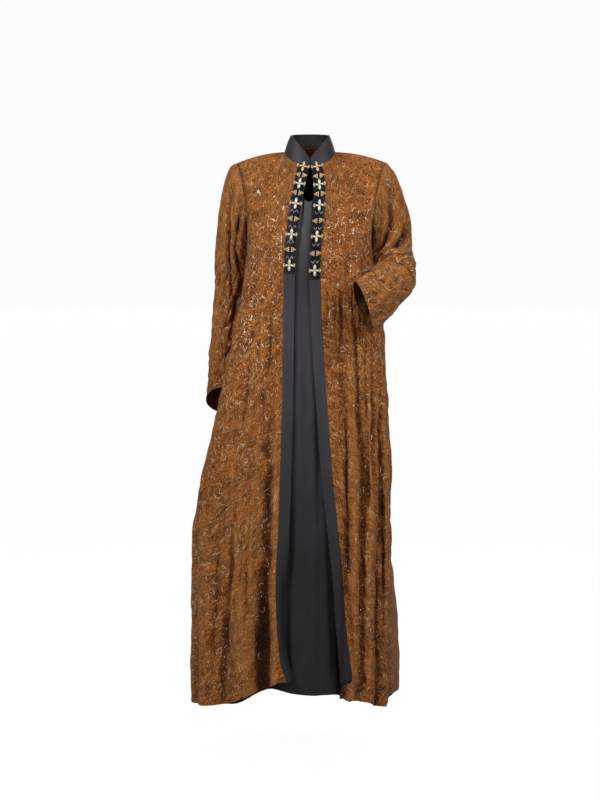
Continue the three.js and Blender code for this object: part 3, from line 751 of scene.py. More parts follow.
def brown_chiffon():
    material, shader = new_material("brown_chiffon_cloth")
    n = Nodes(material)
    rust, brown, dark = (0.440, 0.136, 0.027), (0.215, 0.062, 0.013), (0.050, 0.014, 0.004)
    tan, gold = (0.66, 0.285, 0.078), (0.92, 0.58, 0.25)
    patches = n.ramp(n.noise(n.flow(0.022, 0.060, -60, 0.06, 0.16), 1.0, 4, 0.66), 0.40, 0.59)
    colour = n.blend(patches, brown, rust)
    worn = n.ramp(n.noise(n.flow(0.030, 0.085, -64, 0.06, 0.2, (0.7, 0.2)), 1.0, 3, 0.6), 0.46, 0.68)
    strokes = n.ramp(n.noise(n.flow(0.0050, 0.026, -60, 0.05, 0.14, (0.9, 0.1)), 1.0, 4, 0.75), 0.50, 0.66)
    colour = n.blend(n.maths("MULTIPLY", strokes, n.ramp(worn, 0.0, 1.0, 0.22, 1.0)), colour, tan)
    shade = n.ramp(n.noise(n.flow(0.0055, 0.015, -62, shift=(0.3, 0.7)), 1.0, 4, 0.8), 0.50, 0.64)
    colour = n.blend(n.maths("MULTIPLY", shade, 0.85), colour, dark)
    arcs = n.ramp(n.noise(n.flow(0.0030, 0.024, -30, 0.06, 0.09, (0.5, 0.4)), 1.0, 2, 0.6), 0.58, 0.70)
    colour = n.blend(n.maths("MULTIPLY", arcs, n.ramp(worn, 0.0, 1.0, 0.30, 1.0)), colour, gold)
    grain = n.noise(n.place((1, 1.4), 10), 250, 4, 0.85)
    colour = n.blend(n.ramp(grain, 0.52, 0.66, 0.0, 0.85), colour, dark)
    colour = n.blend(n.ramp(grain, 0.48, 0.34, 0.0, 0.75), colour, tan)
    # Painted shade: the cloth is darkened where it lies in below the cloth around it, in creases and
    # folds, and the ridges get a painted highlight in tan.
    hollow = n.painted("hollow")
    colour = n.blend(n.ramp(hollow, 0.2, 3.6, 0.0, 1.0), colour, (0.42, 0.35, 0.31), "MULTIPLY")
    colour = n.blend(n.ramp(hollow, 4.2, 8.0, 0.0, 1.0), colour, (0.36, 0.31, 0.28), "MULTIPLY")
    colour = n.blend(n.ramp(hollow, -0.6, -3.5, 0.0, 0.22), colour, tan)
    # Painted light: the flare that hangs clear is painted paler, for the light that comes through it.
    sheer = n.painted("sheer")
    colour = n.blend(n.maths("MULTIPLY", sheer, 0.4), colour, (0.40, 0.235, 0.165))
    # Painted shade: the reverse face, inside the coat, is painted darker.
    reverse = n.painted("reverse")
    colour = n.blend(n.ramp(reverse, 0.2, 0.8, 0.0, 0.6), colour, dark)
    n.link(colour, shader.inputs["Base Color"])
    rough = n.ramp(strokes, 0.0, 1.0, 0.92, 0.72)
    n.link(rough, shader.inputs["Roughness"])
    sockets(shader, Specular_IOR_Level=0.18, Sheen_Weight=0.08, Sheen_Roughness=0.5)
    sockets(shader, Sheen_Tint=(1.0, 0.72, 0.45, 1.0))
    ribs = n.noise(n.place((1, 7)), 210, 2, 0.5)
    small = n.noise(n.place((1, 1.5), 25), 420, 2, 0.6)
    height = n.maths("ADD", n.maths("MULTIPLY", ribs, 1.6), small)
    crinkled = n.bump(height, 0.0024, 0.9)
    n.link(n.bump(n.weave(0.0007), 0.0002, 0.4, crinkled), shader.inputs["Normal"])
    return material


def charcoal_crepe():
    material, shader = new_material("charcoal_crepe_cloth")
    n = Nodes(material)
    cloud = n.ramp(n.noise(n.place((1, 3)), 22, 2), 0.35, 0.65)
    colour = n.blend(cloud, (0.0225, 0.0198, 0.0250), (0.0320, 0.0285, 0.0365))
    # Painted shade: the crepe is painted darker towards the hem, where less light falls on it.
    place = n.add("SeparateXYZ")
    n.link(n.add("TexCoord").outputs["Object"], place.inputs[0])
    low = n.ramp(place.outputs["Z"], -0.45, -1.30, 0.0, 1.0)
    colour = n.blend(low, colour, (0.0042, 0.0034, 0.0046))
    # Painted shade: the crepe is also painted darker at the very top, on the collar.
    colour = n.blend(n.ramp(place.outputs["Z"], -0.12, -0.02, 0.0, 0.6), colour, (0.0070, 0.0055, 0.0060))
    # Painted shade: the crepe is darkened where it lies in below the cloth around it.
    hollow = n.painted("hollow")
    colour = n.blend(n.ramp(hollow, 0.2, 3.0, 0.0, 0.6), colour, (0.007, 0.006, 0.007))
    grain = n.ramp(n.noise(n.place(), 420, 3, 0.8), 0.44, 0.64)
    colour = n.blend(n.maths("MULTIPLY", grain, 0.40), colour, (0.052, 0.047, 0.058))
    n.link(colour, shader.inputs["Base Color"])
    n.link(n.ramp(grain, 0.0, 1.0, 0.50, 0.60), shader.inputs["Roughness"])
    sockets(shader, Specular_IOR_Level=0.6, Sheen_Weight=0.06, Sheen_Roughness=0.45)
    pebble = n.noise(n.place((1, 1.3)), 1100, 2, 0.6)
    n.link(n.bump(n.weave(0.0006), 0.0002, 0.3, n.bump(pebble, 0.0004, 0.5)), shader.inputs["Normal"])
    return material


def bead_material(name, colours, roughness, metallic, scale=400):
    material, shader = new_material(name)
    n = Nodes(material)
    vary = n.ramp(n.noise(n.place(), scale, 1), 0.4, 0.6)
    n.link(n.blend(vary, *colours), shader.inputs["Base Color"])
    n.link(n.ramp(vary, 0.0, 1.0, roughness, roughness + 0.1), shader.inputs["Roughness"])
    sockets(shader, Metallic=metallic)
    return material


def thread_material():
    """Each thread has its own tone, which its points carry."""
    material, shader = new_material("metallic_thread")
    n = Nodes(material)
    tone = n.painted("tint")
    pale = n.blend(n.ramp(tone, 0.0, 0.5), (0.95, 0.78, 0.68), (0.92, 0.76, 0.58))
    colour = n.blend(n.ramp(tone, 0.5, 1.0), pale, (0.85, 0.56, 0.24))
    n.link(colour, shader.inputs["Base Color"])
    twist = n.noise(n.place((1, 4), 40), 2500, 1)
    n.link(n.bump(twist, 0.0003, 0.6), shader.inputs["Normal"])
    n.link(n.ramp(twist, 0.3, 0.7, 0.32, 0.5), shader.inputs["Roughness"])
    sockets(shader, Metallic=0.35)
    return material


CHIFFON = brown_chiffon()
CREPE = charcoal_crepe()
JET = bead_material("jet_glass", ((0.006, 0.006, 0.007), (0.016, 0.015, 0.018)), 0.12, 0.0)
SILVER_BEAD = bead_material("silver_white_bead", ((0.92, 0.88, 0.80), (0.80, 0.72, 0.60)), 0.2, 0.35)
GOLD_BEAD = bead_material("gold_bead", ((0.90, 0.70, 0.42), (0.72, 0.48, 0.22)), 0.25, 0.4)
THREAD = thread_material()


# ---------------- fronts and back
def seam_pull(distance, reach=3.0, depth=0.8):
    """Sewn edges are drawn in a little."""
    return -depth * bell(distance, reach)


COAT_HEM_DEPTH, CUFF_HEM, INNER_HEM_DEPTH = 8, 12, 14  # the stitching's height above each hem
EDGE_STITCH, TOP_STITCH = 2.5, 3.5  # and its distance from a band's free edge and a collar's top


def stitched_hem(distance, depth=COAT_HEM_DEPTH, width=2.2, height=0.7):
    """The low ridge over the stitching of a hem."""
    return height * bell(distance - depth, width)


CLOSE_SEAM = 0.03  # half the gap left between two sewn edges
CLEAR_OF_INNER = 4.2  # creases of the fronts stay this far off the inner panel
LEAST_ROOM = 0.4  # but they may always go in this far
# where the fronts cover it, the inner panel hangs this much further in
TUCK_DEPTH, TUCK_FROM_X, TUCK_FROM_Z = 6.5, 105, -380


def finish_cloth(grid, relief, outward, shift):
    return grid + normals(grid, outward=outward) * relief[..., None] + np.array(shift, float)


def calm_top(q):
    """The yoke is crinkled less than the skirt."""
    return 0.35 + 0.65 * smooth((-140 - q) / 300)


def front_grid(side, columns=100, rows=(230, 70)):
    sign = SIGN[side]
    share = np.linspace(0, 1, columns + 1)
    top, arrive = top_seam(sign, -1, BAND_NECK_ANGLE, share)

    def angle_at(z):
        return mix(angle_of_x(EDGE[side](z), z), sign * 90.0, share[:, None])

    hem = coat_hem_at(angle_at(np.full((columns + 1, 1), float(BAND_HEM)))[:, 0])
    kick = 0 if side == "right" else KICK_DEPTH * (1 - smooth(share / KICK_SHARE))[:, None]
    return hang(angle_at, top, arrive, hem, rows, lambda z: kick * smooth((BAND_HEM - z) / KICK_REACH))


def cloth_edges(grid):
    across, up = edge_distance(grid)
    return across, across[-1] - across, up, up[:, -1:] - up


def make_front(side):
    sign = SIGN[side]
    grid = relax(front_grid(side))
    at_band, at_side, at_hem, at_top = cloth_edges(grid)
    p, q = grid[..., 0], grid[..., 2]
    creases = FRONT_LEFT_CREASES if side == "left" else FRONT_RIGHT_CREASES
    seed = 20 if side == "left" else 40
    relief = calm_top(q) * crinkle(at_band, q, seed) + crease_relief(p, q, creases, seed)
    held = smooth(at_band / 16) * smooth(at_top / 22) * smooth(at_side / 12)
    relief = relief * held
    slant = np.abs(sin_of(angle_of_x(p, q))) ** INNER_SIDE_POWER
    room = mix(inner_inset_at(q), INNER_SIDE_INSET, slant) - CLEAR_OF_INNER
    relief = np.maximum(relief, -np.maximum(room, LEAST_ROOM))
    relief += seam_pull(at_band) + seam_pull(at_top) + seam_pull(at_side)
    relief += stitched_hem(at_hem)
    return finish_cloth(grid, relief, sign, (0, -CLOSE_SEAM, 0))


def back_grid(columns=160, rows=(230, 60)):
    share = np.linspace(-1, 1, columns + 1)
    angle = 180 + 90 * share
    left = share < 0
    top_left, arrive_left = top_seam(1, 1, 0, np.abs(share))
    top_right, arrive_right = top_seam(-1, 1, 0, np.abs(share))
    top = np.where(left[:, None], top_left, top_right)
    arrive = np.where(left[:, None], arrive_left, arrive_right)
    return hang(lambda z: angle[:, None] + 0 * z, top, arrive, coat_hem_at(angle), rows)


def make_back():
    grid = relax(back_grid())
    at_left, at_right, at_hem, at_top = cloth_edges(grid)
    middle = (at_left + at_right) / 2
    p, q = middle - at_left, grid[..., 2]
    relief = calm_top(q) * crinkle(p, q, 60, 1.15) + crease_relief(p, q, BACK_CREASES, 60)
    held = smooth(at_left / 12) * smooth(at_right / 12) * smooth(at_top / 22)
    relief = relief * held + seam_pull(at_left) + seam_pull(at_right) + seam_pull(at_top)
    relief += stitched_hem(at_hem)
    return finish_cloth(grid, relief, 1, (0, CLOSE_SEAM, 0))


# ---------------- bands and collar
def band_grid(side, columns=14, rows=(260, 80)):
    sign = SIGN[side]
    share = np.linspace(0, 1, columns + 1)[:, None]

    def turn_at(z):
        deep = 0 if side == "left" else BAND_TURN_DEPTH
        return deep * smooth((BAND_TURN_TOP - z) / (BAND_TURN_TOP - BAND_TURN_FULL))

    def angle_at(z):
        width = np.sqrt(BAND_WIDTH ** 2 - turn_at(z) ** 2)
        return angle_of_x(EDGE[side](z) - sign * share * width, z)

    top = neck_point(sign * mix(BAND_NECK_ANGLE, COLLAR_GAP_ANGLE, share[:, 0]))
    arrive = arriving(sign, -1, "front_neck", "front_neck", share[:, 0])
    hem = np.full(columns + 1, float(BAND_HEM))
    return hang(angle_at, top, arrive, hem, rows, lambda z: turn_at(z) * share ** 2)


def make_band(side):
    sign = SIGN[side]
    grid = band_grid(side)
    at_front, at_free, at_hem, _ = cloth_edges(grid)
    relief = 0.5 * noise(at_hem / 70, at_front / 40, 90 + sign)
    relief += seam_pull(at_front, 2.5, 0.9) - 0.35 * bell(at_free - EDGE_STITCH, 1.2)
    return finish_cloth(grid, relief, -sign, (-sign * SEAM, -SEAM / 2, 0))


def collar_top(angle):
    sine = np.abs(sin_of(angle))
    cosine = cos_of(angle)
    at_back = mix(COLLAR_TOP, COLLAR_BACK_TOP, -cosine)
    z = np.where(cosine >= 0, mix(COLLAR_NOTCH, COLLAR_TOP, sine), at_back)
    return vec(COLLAR_SIDE * sin_of(angle), COLLAR_MIDDLE - COLLAR_DEEP * cosine, z)


def make_collar(columns=150, rows=18):
    angle = np.linspace(COLLAR_GAP_ANGLE, 360 - COLLAR_GAP_ANGLE, columns + 1)
    t = np.linspace(-0.05, 1, rows + 1)[None, :, None]
    grid = mix(neck_point(angle)[:, None], collar_top(angle)[:, None], t)
    at_start, _, at_neck, at_top = cloth_edges(grid)
    relief = 0.6 + 0.9 * np.sin(np.pi * np.clip(t[..., 0], 0, 1))
    relief = relief - 0.4 * bell(at_top - TOP_STITCH, 1.2)
    relief = relief + 0.5 * noise(at_start / 40, at_neck / 30, 95) * smooth(at_top / 8)
    return finish_cloth(grid, relief, 1, (0, 0, 1.5 * SEAM))


# ---------------- inner panel
def make_inner(columns=150, rows=(190, 60)):
    share = np.linspace(-1, 1, columns + 1)
    sign = np.where(share < 0, -1.0, 1.0)
    angle = INNER_SIDE_ANGLE * share
    # stops as in the CAD: 0 to 3 the halter, 3 to 6 the neckline, 7 and 8 the slit
    stop = (1 - np.abs(share)) * 8
    halter = np.clip(stop / 3, 0, 1)
    neck_end = mix(90, BAND_NECK_ANGLE, 1 / 3)
    neck_middle = mix(90, BAND_NECK_ANGLE, 2 / 3)
    neck = np.interp(stop, [3, 4, 5, 6], [neck_end, neck_middle, BAND_NECK_ANGLE, SLIT_NECK_ANGLE])
    inward = np.array([0, 0.6, -0.8]) * INNER_NECK_INSET
    slack = np.array(INNER_SLACK, float)
    under = body_point(sign * INNER_SIDE_ANGLE, UNDERARM_Z - HALTER_DROP, INNER_SIDE_INSET)
    hollow = np.sin(np.pi * halter)[:, None]
    on_halter = mix(under, neck_point(sign * neck_end) + inward + slack, halter[:, None])
    on_halter = on_halter + vec(-sign * HALTER_OUT, -HALTER_FORWARD, 0) * hollow
    slacked = slack * np.clip(4 - stop, 0, 1)[:, None]
    on_neck = neck_point(sign * neck) + inward + slacked
    close = np.clip(stop - 7, 0, 1)
    slit = vec(SLIT_CENTRE + sign * (SLIT_HALF + SLIT_FREE) * (1 - close ** 3) ** (1 / 3),
               mix(SLIT_SHOULDER_Y, SLIT_BOTTOM_Y, close ** 2),
               mix(SLIT_SHOULDER, SLIT_BOTTOM, close ** 2))
    fall = np.clip(stop - 6, 0, 1)[:, None]
    on_neck = mix(on_neck, slit, fall)
    top = np.where((stop < 3)[:, None], on_halter, on_neck)
    at_halter = arriving(1, -1, "halter_low", "halter_high", halter)
    at_neck = arriving(1, -1, "inner_neck", "inner_slit", fall[:, 0])
    arrive = np.where((stop < 3)[:, None], at_halter, at_neck)
    to_side = np.abs(sin_of(angle))[:, None] ** INNER_SIDE_POWER
    grid = hang(lambda z: angle[:, None] + 0 * z, top, arrive, inner_hem_at(angle), rows,
                lambda z: mix(inner_inset_at(z), INNER_SIDE_INSET, to_side))
    at_start, at_end, at_hem, at_top = cloth_edges(grid)
    p, q = grid[..., 0], grid[..., 2]
    relief = crease_relief(p, q, INNER_CREASES, 70) + 0.8 * noise(p / 34, q / 240, 71)
    relief *= smooth(at_top / 60) * smooth(at_start / 20) * smooth(at_end / 20)
    relief = np.minimum(relief, 2.5)
    relief -= TUCK_DEPTH * smooth((np.abs(p) - TUCK_FROM_X) / 40) * smooth((TUCK_FROM_Z - q) / 120)
    relief += stitched_hem(at_hem, INNER_HEM_DEPTH, 1.6, 0.5)
    return finish_cloth(grid, relief, 1, (0, 0, 0))


# ---------------- sleeves
# A sleeve's cap leaves the armhole this far, low and high, and meets the arm this far up it.
CAP_OUT, CAP_DOWN, CAP_LEAVE, CAP_MEET = 0.86, 0.5, (8, 52), (14, 88)
RING_STEP = 0.2  # the arm's direction at its first ring is measured over this share of a ring
SLEEVE_RADIUS = 50  # about half a sleeve's width, for places round the arm
SLEEVE_CRINKLE_LEVEL = 2.4


def make_sleeve(rings, sign, creases, seed, columns=110, rows=(44, 120)):
    ring = {name: through(rings, name) for name in rings[0]}
    angle = np.linspace(0, 360, columns, endpoint=False)[:, None]
    cosine, sine = cos_of(angle), sin_of(angle)

    def ring_point(at):
        at = np.broadcast_to(at, np.broadcast(at, angle).shape)
        turn, lift = np.radians(ring["turn"](at)), np.radians(ring["lift"](at))
        inward = vec(-sign * np.cos(turn), np.sin(turn), 0)
        ahead = vec(-sign * np.sin(turn) * np.cos(lift), -np.cos(turn) * np.cos(lift), np.sin(lift))
        centre = vec(ring["x"](at), ring["y"](at), ring["z"](at))
        return (centre + inward * (ring["across"](at) * cosine)[..., None]
                + ahead * (ring["through"](at) * sine)[..., None])

    start = armhole_point(sign, angle[:, 0])
    end = ring_point(np.array([[0.0]]))[:, 0]
    along = unit(end - ring_point(np.array([[RING_STEP]]))[:, 0])
    high = (1 - cosine) / 2
    cap, tube = rows
    t = np.linspace(0, 1, cap + 1)[:-1][None, :, None]
    out = np.array([sign * CAP_OUT, 0, -CAP_DOWN])
    over = bezier(start[:, None], (start + out * mix(*CAP_LEAVE, high))[:, None],
                  (end + along * mix(*CAP_MEET, high))[:, None], end[:, None], t)
    last = len(rings) - 1
    grid = np.concatenate([over, ring_point(np.linspace(0, last, tube + 1)[None, :])], axis=1)
    up = edge_distance(grid)[1]
    q = up.mean(axis=0)[None, :] * np.ones_like(up)
    at_cuff = up[:, -1:] - up
    round_arm = SLEEVE_RADIUS * 2 * math.pi
    p = (angle - 90) / 360 * round_arm + 0 * up
    u, v = cosine * SLEEVE_RADIUS / 16, sine * SLEEVE_RADIUS / 16
    relief = 3.0 * noise(u + q / 110, v + q / 70, seed)
    relief = relief + 4.2 * ribs_at(u * 1.2 + q / 45, v * 1.2 - q / 60, seed + 1)
    relief = relief + 2.0 * ribs_at(u * 2 - q / 24, v * 2 + q / 30, seed + 3) - SLEEVE_CRINKLE_LEVEL
    relief = relief + 0.8 * noise(p / 7, q / 22, seed + 2) * smooth((135 - np.abs(p)) / 30)
    relief = relief + crease_relief(p, q, creases, seed, round_arm)
    relief = relief * smooth(up / 16) * smooth(at_cuff / 6) + seam_pull(up, 4.0, 0.4)
    relief += stitched_hem(at_cuff, CUFF_HEM)
    lift = normals(grid, True, 1 if sign < 0 else -1)
    return grid + lift * relief[..., None] + np.array([sign * SLEEVE_GAP, 0, 0])


# ---------------- the cloth pieces
FLARE_ANGLE, FLARE_WIDTH, FLARE_TOP = 104, 10, -620


def sheer_flare(columns):
    """The flare at the left of the back hangs clear; this is where it is painted paler, as painted light
    coming through it.
    """
    angle = np.linspace(90, 270, columns)[:, None]
    z = grids["back"][0][..., 2]
    return bell(angle - FLARE_ANGLE, FLARE_WIDTH) * smooth((FLARE_TOP - z) / 300)


def cut_piece(name, grid, material, slot, outward=1, wrapped=False):
    # the back's flare carries the share that is painted paler, as painted light through it
    sheer = sheer_flare(len(grid)) if name.startswith("back") else 0.0
    obj = shell(name, grid, material, slot, outward, wrapped, sheer=sheer)
    node = name.replace("_cloth", "")
    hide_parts(node)


grids = {
    "front_right": (make_front("right"), -1, False),
    "front_left": (make_front("left"), 1, False),
    "back": (make_back(), 1, False),
    "sleeve_right": (make_sleeve(RIGHT_SLEEVE, -1, RIGHT_SLEEVE_CREASES, 110), 1, True),
    "sleeve_left": (make_sleeve(LEFT_SLEEVE, 1, LEFT_SLEEVE_CREASES, 130), -1, True),
    "band_right": (make_band("right"), 1, False),
    "band_left": (make_band("left"), -1, False),
    "collar": (make_collar(), 1, False),
    "inner_front": (make_inner(), 1, False),
}
CREPE_PIECES = ("band_right", "band_left", "collar", "inner_front")
for node, (grid, outward, wrapped) in grids.items():
    crepe = node in CREPE_PIECES
    cut_piece(
        node + "_cloth", grid, CREPE if crepe else CHIFFON,
        "charcoal_crepe" if crepe else "brown_chiffon",
        outward, wrapped)


# ---------------- threads on the chiffon
def sample(field, i, j, wrapped):
    """The grid's value at fractional places."""
    columns, rows = field.shape[:2]
    i0 = np.floor(i).astype(int)
    j0 = np.clip(np.floor(j).astype(int), 0, rows - 2)
    s, t = (i - i0)[..., None], (j - j0)[..., None]
    if wrapped:
        a, b = i0 % columns, (i0 + 1) % columns
    else:
        a = np.clip(i0, 0, columns - 2)
        b = a + 1
    return mix(mix(field[a, j0], field[b, j0], s), mix(field[a, j0 + 1], field[b, j0 + 1], s), t)


THREAD_STEPS = 7
THREAD_SIZES, THREAD_SHARES = [2.0, 3.4, 6.5, 9.0, 12.0], [0.46, 0.24, 0.13, 0.11, 0.06]
DASH = 5  # threads shorter than this are straight and wider
DASH_HALF, THREAD_HALF, THREAD_TIP, THREAD_LIFT = 0.75, 0.50, 0.35, 0.45


def thread_path(kind, size):
    """Points of a thread about its middle: a dash, a hook or an S."""
    t = np.linspace(-1, 1, THREAD_STEPS)
    if kind == 0:
        return np.stack([size * 0.6 * t, 0.08 * size * t * t], -1)
    if kind == 1:
        turn = 1.7 * t
        return np.stack([0.42 * size * np.sin(turn), 0.42 * size * np.cos(turn)], -1)
    return np.stack([0.62 * size * t, 0.26 * size * np.sin(2.6 * t)], -1)


def make_threads(name, grid, outward, wrapped, count, seed):
    rng = np.random.default_rng(seed)
    columns, rows = grid.shape[:2]
    normal = normals(grid, wrapped, outward)
    points, faces, tints = [], [], []
    made = 0
    while made < count:
        i = rng.uniform(3, columns - 4)
        j = rng.uniform(4, rows - 5)
        size = rng.choice(THREAD_SIZES, p=THREAD_SHARES)
        kind = 0 if size < DASH else int(rng.integers(0, 3))
        heading = rng.normal(0.9, 0.7) if rng.random() < 0.6 else rng.uniform(0, math.pi)
        tone = rng.random()
        keep = rng.random()
        centre = grid[int(i) % columns, int(j)]
        if keep > chest_density(centre):
            continue
        du = np.linalg.norm(grid[(int(i) + 1) % columns, int(j)] - centre)
        dv = np.linalg.norm(grid[int(i) % columns, int(j) + 1] - centre)
        path = thread_path(kind, size)
        cosine, sine = math.cos(heading), math.sin(heading)
        path = path @ np.array([[cosine, sine], [-sine, cosine]])
        step = np.gradient(path, axis=0)
        side = np.stack([-step[:, 1], step[:, 0]], -1)
        side /= np.maximum(np.linalg.norm(side, axis=1, keepdims=True), 1e-9)
        half = np.array([THREAD_TIP] + [1.0] * (THREAD_STEPS - 2) + [THREAD_TIP])
        half *= DASH_HALF if size < DASH else THREAD_HALF
        base = len(points) * 2 * THREAD_STEPS
        ring = []
        for edge in (-1, 1):
            flat = path + edge * side * half[:, None]
            pi, pj = i + flat[:, 0] / du, j + flat[:, 1] / dv
            lift = sample(normal, pi, pj, wrapped)
            ring.append(sample(grid, pi, pj, wrapped) + lift * THREAD_LIFT)
        points.append(np.concatenate(ring))
        tints.append(np.full(2 * THREAD_STEPS, tone))
        number = np.arange(THREAD_STEPS - 1) + base
        quad = np.stack([number, number + 1, number + 1 + THREAD_STEPS, number + THREAD_STEPS], -1)
        faces.append(quad if outward > 0 else quad[:, ::-1])
        made += 1
    points = np.concatenate(points)
    uv = points[:, [0, 2]]
    return mesh_object(name, points, np.concatenate(faces), uv, THREAD, "brown_chiffon",
                       tint=np.concatenate(tints))


def chest_density(point):
    return float(np.clip(mix(0.35, 1.0, (-point[2] - 40) / 130), 0.3, 1.0) if point[2] > -520 else 0.75)


THREADS = {"front_right": 1300, "front_left": 1050, "back": 1900, "sleeve_right": 560, "sleeve_left": 560}
for seed, (node, count) in enumerate(THREADS.items()):
    grid, outward, wrapped = grids[node]
    make_threads("threads_" + node, grid, outward, wrapped, count, 300 + seed)


# ---------------- beaded strips
def ball(segments=6, rings=4):
    """A unit ball of few faces, as points and quads."""
    points = []
    for k in range(rings + 1):
        polar = math.pi * k / rings
        out = math.sin(polar)
        for s in range(segments):
            turn = 2 * math.pi * s / segments
            points.append((out * math.cos(turn), out * math.sin(turn), math.cos(polar)))
    faces = []
    for k in range(rings):
        for s in range(segments):
            a, b = k * segments + s, k * segments + (s + 1) % segments
            faces.append((a, a + segments, b + segments, b))
    return np.array(points), np.array(faces)


STRIP_ROWS = 82  # rows of the band's grid, from the neck down, that carry beads


class Strip:
    """Places on a band by millimetres across from its free edge and down from the neck."""

    def __init__(self, side):
        grid = grids["band_" + side][0][::-1, -STRIP_ROWS:][:, ::-1]
        self.grid = grid
        self.normal = normals(grid)
        if self.normal[..., 1].mean() > 0:
            self.normal = -self.normal
        self.across, self.down = edge_distance(grid)
        self.middle_down = self.down[len(grid) // 2]
        self.width = self.across[-1].mean()

    def place(self, across, down):
        across, down = np.asarray(across, float), np.asarray(down, float)
        j = np.interp(down, self.middle_down, np.arange(len(self.middle_down)))
        i = across / self.width * (len(self.grid) - 1)
        columns, rows = self.grid.shape[:2]
        i, j = np.clip(i, -2.5, columns + 1.5), np.clip(j, 0, rows - 1.001)
        base_i = np.clip(np.floor(i).astype(int), 0, columns - 2)
        j0 = np.floor(j).astype(int)
        s, t = (i - base_i)[..., None], (j - j0)[..., None]

        def at(field):
            low = mix(field[base_i, j0], field[base_i + 1, j0], s)
            return mix(low, mix(field[base_i, j0 + 1], field[base_i + 1, j0 + 1], s), t)

        return at(self.grid), unit(at(self.normal))


class Beads:
    """Collects oval beads on a strip and joins them in one mesh."""

    def __init__(self, strip):
        self.strip = strip
        self.rows = []

    def add(self, across, down, long, wide, high, turn, raise_by):
        self.rows.append((across, down, long, wide, high, turn, raise_by))

    def build(self, name, material, segments=6, rings=4):
        rows = np.array(self.rows, float)
        shape, quads = ball(segments, rings)
        centre, normal = self.strip.place(rows[:, 0], rows[:, 1])
        ahead, _ = self.strip.place(rows[:, 0], rows[:, 1] + 1.0)
        down = unit(ahead - centre)
        side = np.cross(normal, down)
        turn = np.radians(rows[:, 5])[:, None]
        long_way = down * np.cos(turn) + side * np.sin(turn)
        wide_way = np.cross(normal, long_way)
        centre = centre + normal * rows[:, 6:7]
        points = (centre[:, None]
                  + wide_way[:, None] * shape[None, :, 0:1] * rows[:, 3][:, None, None]
                  + normal[:, None] * shape[None, :, 1:2] * rows[:, 4][:, None, None]
                  + long_way[:, None] * shape[None, :, 2:3] * rows[:, 2][:, None, None])
        faces = (quads[None] + (np.arange(len(rows)) * len(shape))[:, None, None]).reshape(-1, 4)
        points = points.reshape(-1, 3)
        return mesh_object(name, points, faces, points[:, [0, 2]], material, "bead_strip")


# millimetres down the strip to the middle of each motif; crosses and pairs take turns
MOTIFS = {
    "right": (("cross", 8), ("pair", 34), ("cross", 58), ("pair", 84), ("cross", 112),
              ("pair", 152), ("cross", 192), ("pair", 230), ("cross", 270)),
    "left": (("cross", 8), ("pair", 36), ("cross", 60), ("pair", 86), ("cross", 116),
             ("pair", 156), ("cross", 196), ("pair", 239), ("cross", 282)),
}
JET_PITCH, JET_ACROSS = 3.3, 9  # millimetres from row to row, and beads in a row
# half length, half width and half height of each kind of bead
JET_BEAD, UPRIGHT_BEAD, ARM_BEAD = (1.75, 1.5, 1.4), (7.0, 3.7, 2.8), (4.8, 2.8, 2.2)
ROUND_BEAD, SMALL_BEAD, HEART_BEAD = (2.2, 2.2, 2.0), (1.8, 1.8, 1.7), (3.0, 2.6, 2.6)
STRIP_LENGTH = {"right": 292, "left": 304}


def add_cross(silver, gold, across, down, top_one):
    """Two long pale beads up and down, a gold bar, and a pair of small beads at each arm."""
    upright = gold if top_one else silver
    upright.add(across, down - 8.0, *UPRIGHT_BEAD, 0, 3.4)
    upright.add(across, down + 8.0, *UPRIGHT_BEAD, 0, 3.4)
    for arm in (-1, 1):
        (gold if top_one else silver).add(across + arm * 6.4, down, *ARM_BEAD, 90, 3.2)
        gold.add(across + arm * 12.6, down - 3.0, *ROUND_BEAD, 0, 3.0)
        gold.add(across + arm * 12.6, down + 3.0, *ROUND_BEAD, 0, 3.0)
        silver.add(across + arm * 14.4, down, *SMALL_BEAD, 0, 3.2)
    gold.add(across, down, *HEART_BEAD, 0, 4.2)


def add_pair(silver, gold, across, down):
    """Two small triangles of round beads, their points turned outwards."""
    for arm in (-1, 1):
        for row, count in ((0, 3), (1, 2), (2, 1)):
            for k in range(count):
                where = down + (k - (count - 1) / 2) * 4.6
                kind = silver if (row == 1 and k == 0) else gold
                kind.add(across + arm * (4.2 + row * 4.2), where, *ROUND_BEAD, 0, 3.0)


def make_strip(side):
    strip = Strip(side)
    middle = strip.width / 2
    jet, silver, gold = Beads(strip), Beads(strip), Beads(strip)
    rng = np.random.default_rng(500 if side == "left" else 501)
    for row in range(int(STRIP_LENGTH[side] / JET_PITCH)):
        for k in range(JET_ACROSS):
            across = (k + 0.5 + 0.5 * (row % 2)) * strip.width / (JET_ACROSS + 0.5)
            jog = rng.normal(0, 0.25, 2)
            tilt = rng.uniform(-30, 30)
            jet.add(across + jog[0], 2 + row * JET_PITCH + jog[1], *JET_BEAD, tilt, 1.5)
    for kind, down in MOTIFS[side]:
        if kind == "cross":
            add_cross(silver, gold, middle, down, down < 20)
        else:
            add_pair(silver, gold, middle, down)
    for (_, upper), (_, lower) in zip(MOTIFS[side][4:], MOTIFS[side][5:]):
        mid = (upper + lower) / 2
        for arm in (-1, 1):
            silver.add(middle + arm * 3.4, mid, 5.0, 0.36, 0.4, arm * 32, 3.0)
            silver.add(middle + arm * 7.6, mid, 4.6, 0.36, 0.4, -arm * 34, 3.0)
    net = jet.build("beads_" + side, JET)
    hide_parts("trim_" + side)
    silver.build("silver_beads_" + side, SILVER_BEAD, 8, 6)
    gold.build("gold_beads_" + side, GOLD_BEAD, 8, 6)


for side in ("right", "left"):
    make_strip(side)


# ---------------- stage, light and camera
FLOOR_Z = -1.545
STAGE_REACH = 60.0
ROOM_LIGHT, BACKDROP = 0.2, 0.97


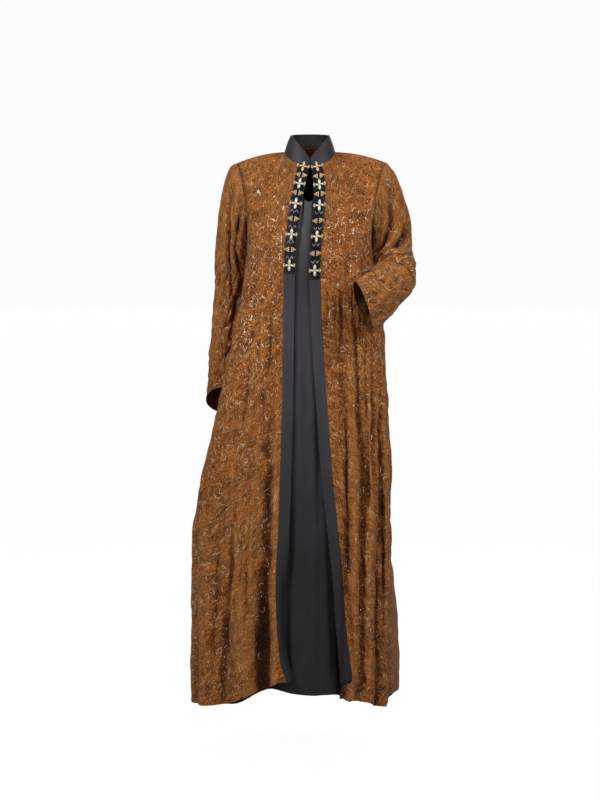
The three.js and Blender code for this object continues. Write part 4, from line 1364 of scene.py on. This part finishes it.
def make_floor():
    mesh = bpy.data.meshes.new("floor")
    r = STAGE_REACH
    corners = [(-r, -r, FLOOR_Z), (r, -r, FLOOR_Z), (r, r, FLOOR_Z), (-r, r, FLOOR_Z)]
    mesh.from_pydata(corners, [], [(0, 1, 2, 3)])
    material, shader = new_material("pale_floor")
    sockets(shader, Base_Color=(0.01, 0.01, 0.01, 1), Roughness=0.9)
    sockets(shader, Emission_Color=(1, 1, 1, 1), Emission_Strength=BACKDROP)
    mesh.materials.append(material)
    floor = add_object("floor", mesh)
    floor.visible_diffuse = False
    floor.visible_glossy = False


def make_light(name, place, aim, size, power):
    data = bpy.data.lights.new(name, "AREA")
    data.size = size
    data.energy = power
    light = bpy.data.objects.new(name, data)
    light.visible_camera = False
    light.location = place
    light.rotation_euler = (Vector(aim) - Vector(place)).to_track_quat("-Z", "Y").to_euler()
    bpy.context.scene.collection.objects.link(light)


def make_stage():
    make_floor()
    world = bpy.data.worlds.new("studio")
    world.use_nodes = True
    tree = world.node_tree
    soft = tree.nodes["Background"]
    sockets(soft, Color=(1.0, 0.99, 0.98, 1), Strength=ROOM_LIGHT)
    pale = tree.nodes.new("ShaderNodeBackground")
    sockets(pale, Color=(1, 1, 1, 1), Strength=BACKDROP)
    seen = tree.nodes.new("ShaderNodeLightPath")
    either = tree.nodes.new("ShaderNodeMixShader")
    tree.links.new(seen.outputs["Is Camera Ray"], either.inputs[0])
    tree.links.new(soft.outputs[0], either.inputs[1])
    tree.links.new(pale.outputs[0], either.inputs[2])
    tree.links.new(either.outputs[0], tree.nodes["World Output"].inputs["Surface"])
    bpy.context.scene.world = world
    chest, skirt = (0, 0, -0.35), (0, 0, -0.8)
    make_light("key", (-1.5, -1.6, 0.75), chest, 0.8, 33)
    make_light("fill", (1.4, -1.7, 0.6), chest, 1.0, 27)
    make_light("behind", (0.5, 2.4, 1.4), skirt, 1.8, 38)


CAMERA_PLACE = (-0.026, -5.0, -0.31)
CAMERA_PITCH = 3.8
FOCAL_PIXELS = 1923
PHOTO_HEIGHT = 800
SENSOR = 36.0


def make_camera():
    data = bpy.data.cameras.new("camera")
    data.sensor_width = SENSOR
    data.lens = FOCAL_PIXELS / PHOTO_HEIGHT * SENSOR
    camera = bpy.data.objects.new("camera", data)
    camera.location = CAMERA_PLACE
    camera.rotation_euler = (math.radians(90 - CAMERA_PITCH), 0, 0)
    bpy.context.scene.collection.objects.link(camera)
    bpy.context.scene.camera = camera


make_stage()
make_camera()
bpy.context.scene.view_settings.view_transform = "Standard"
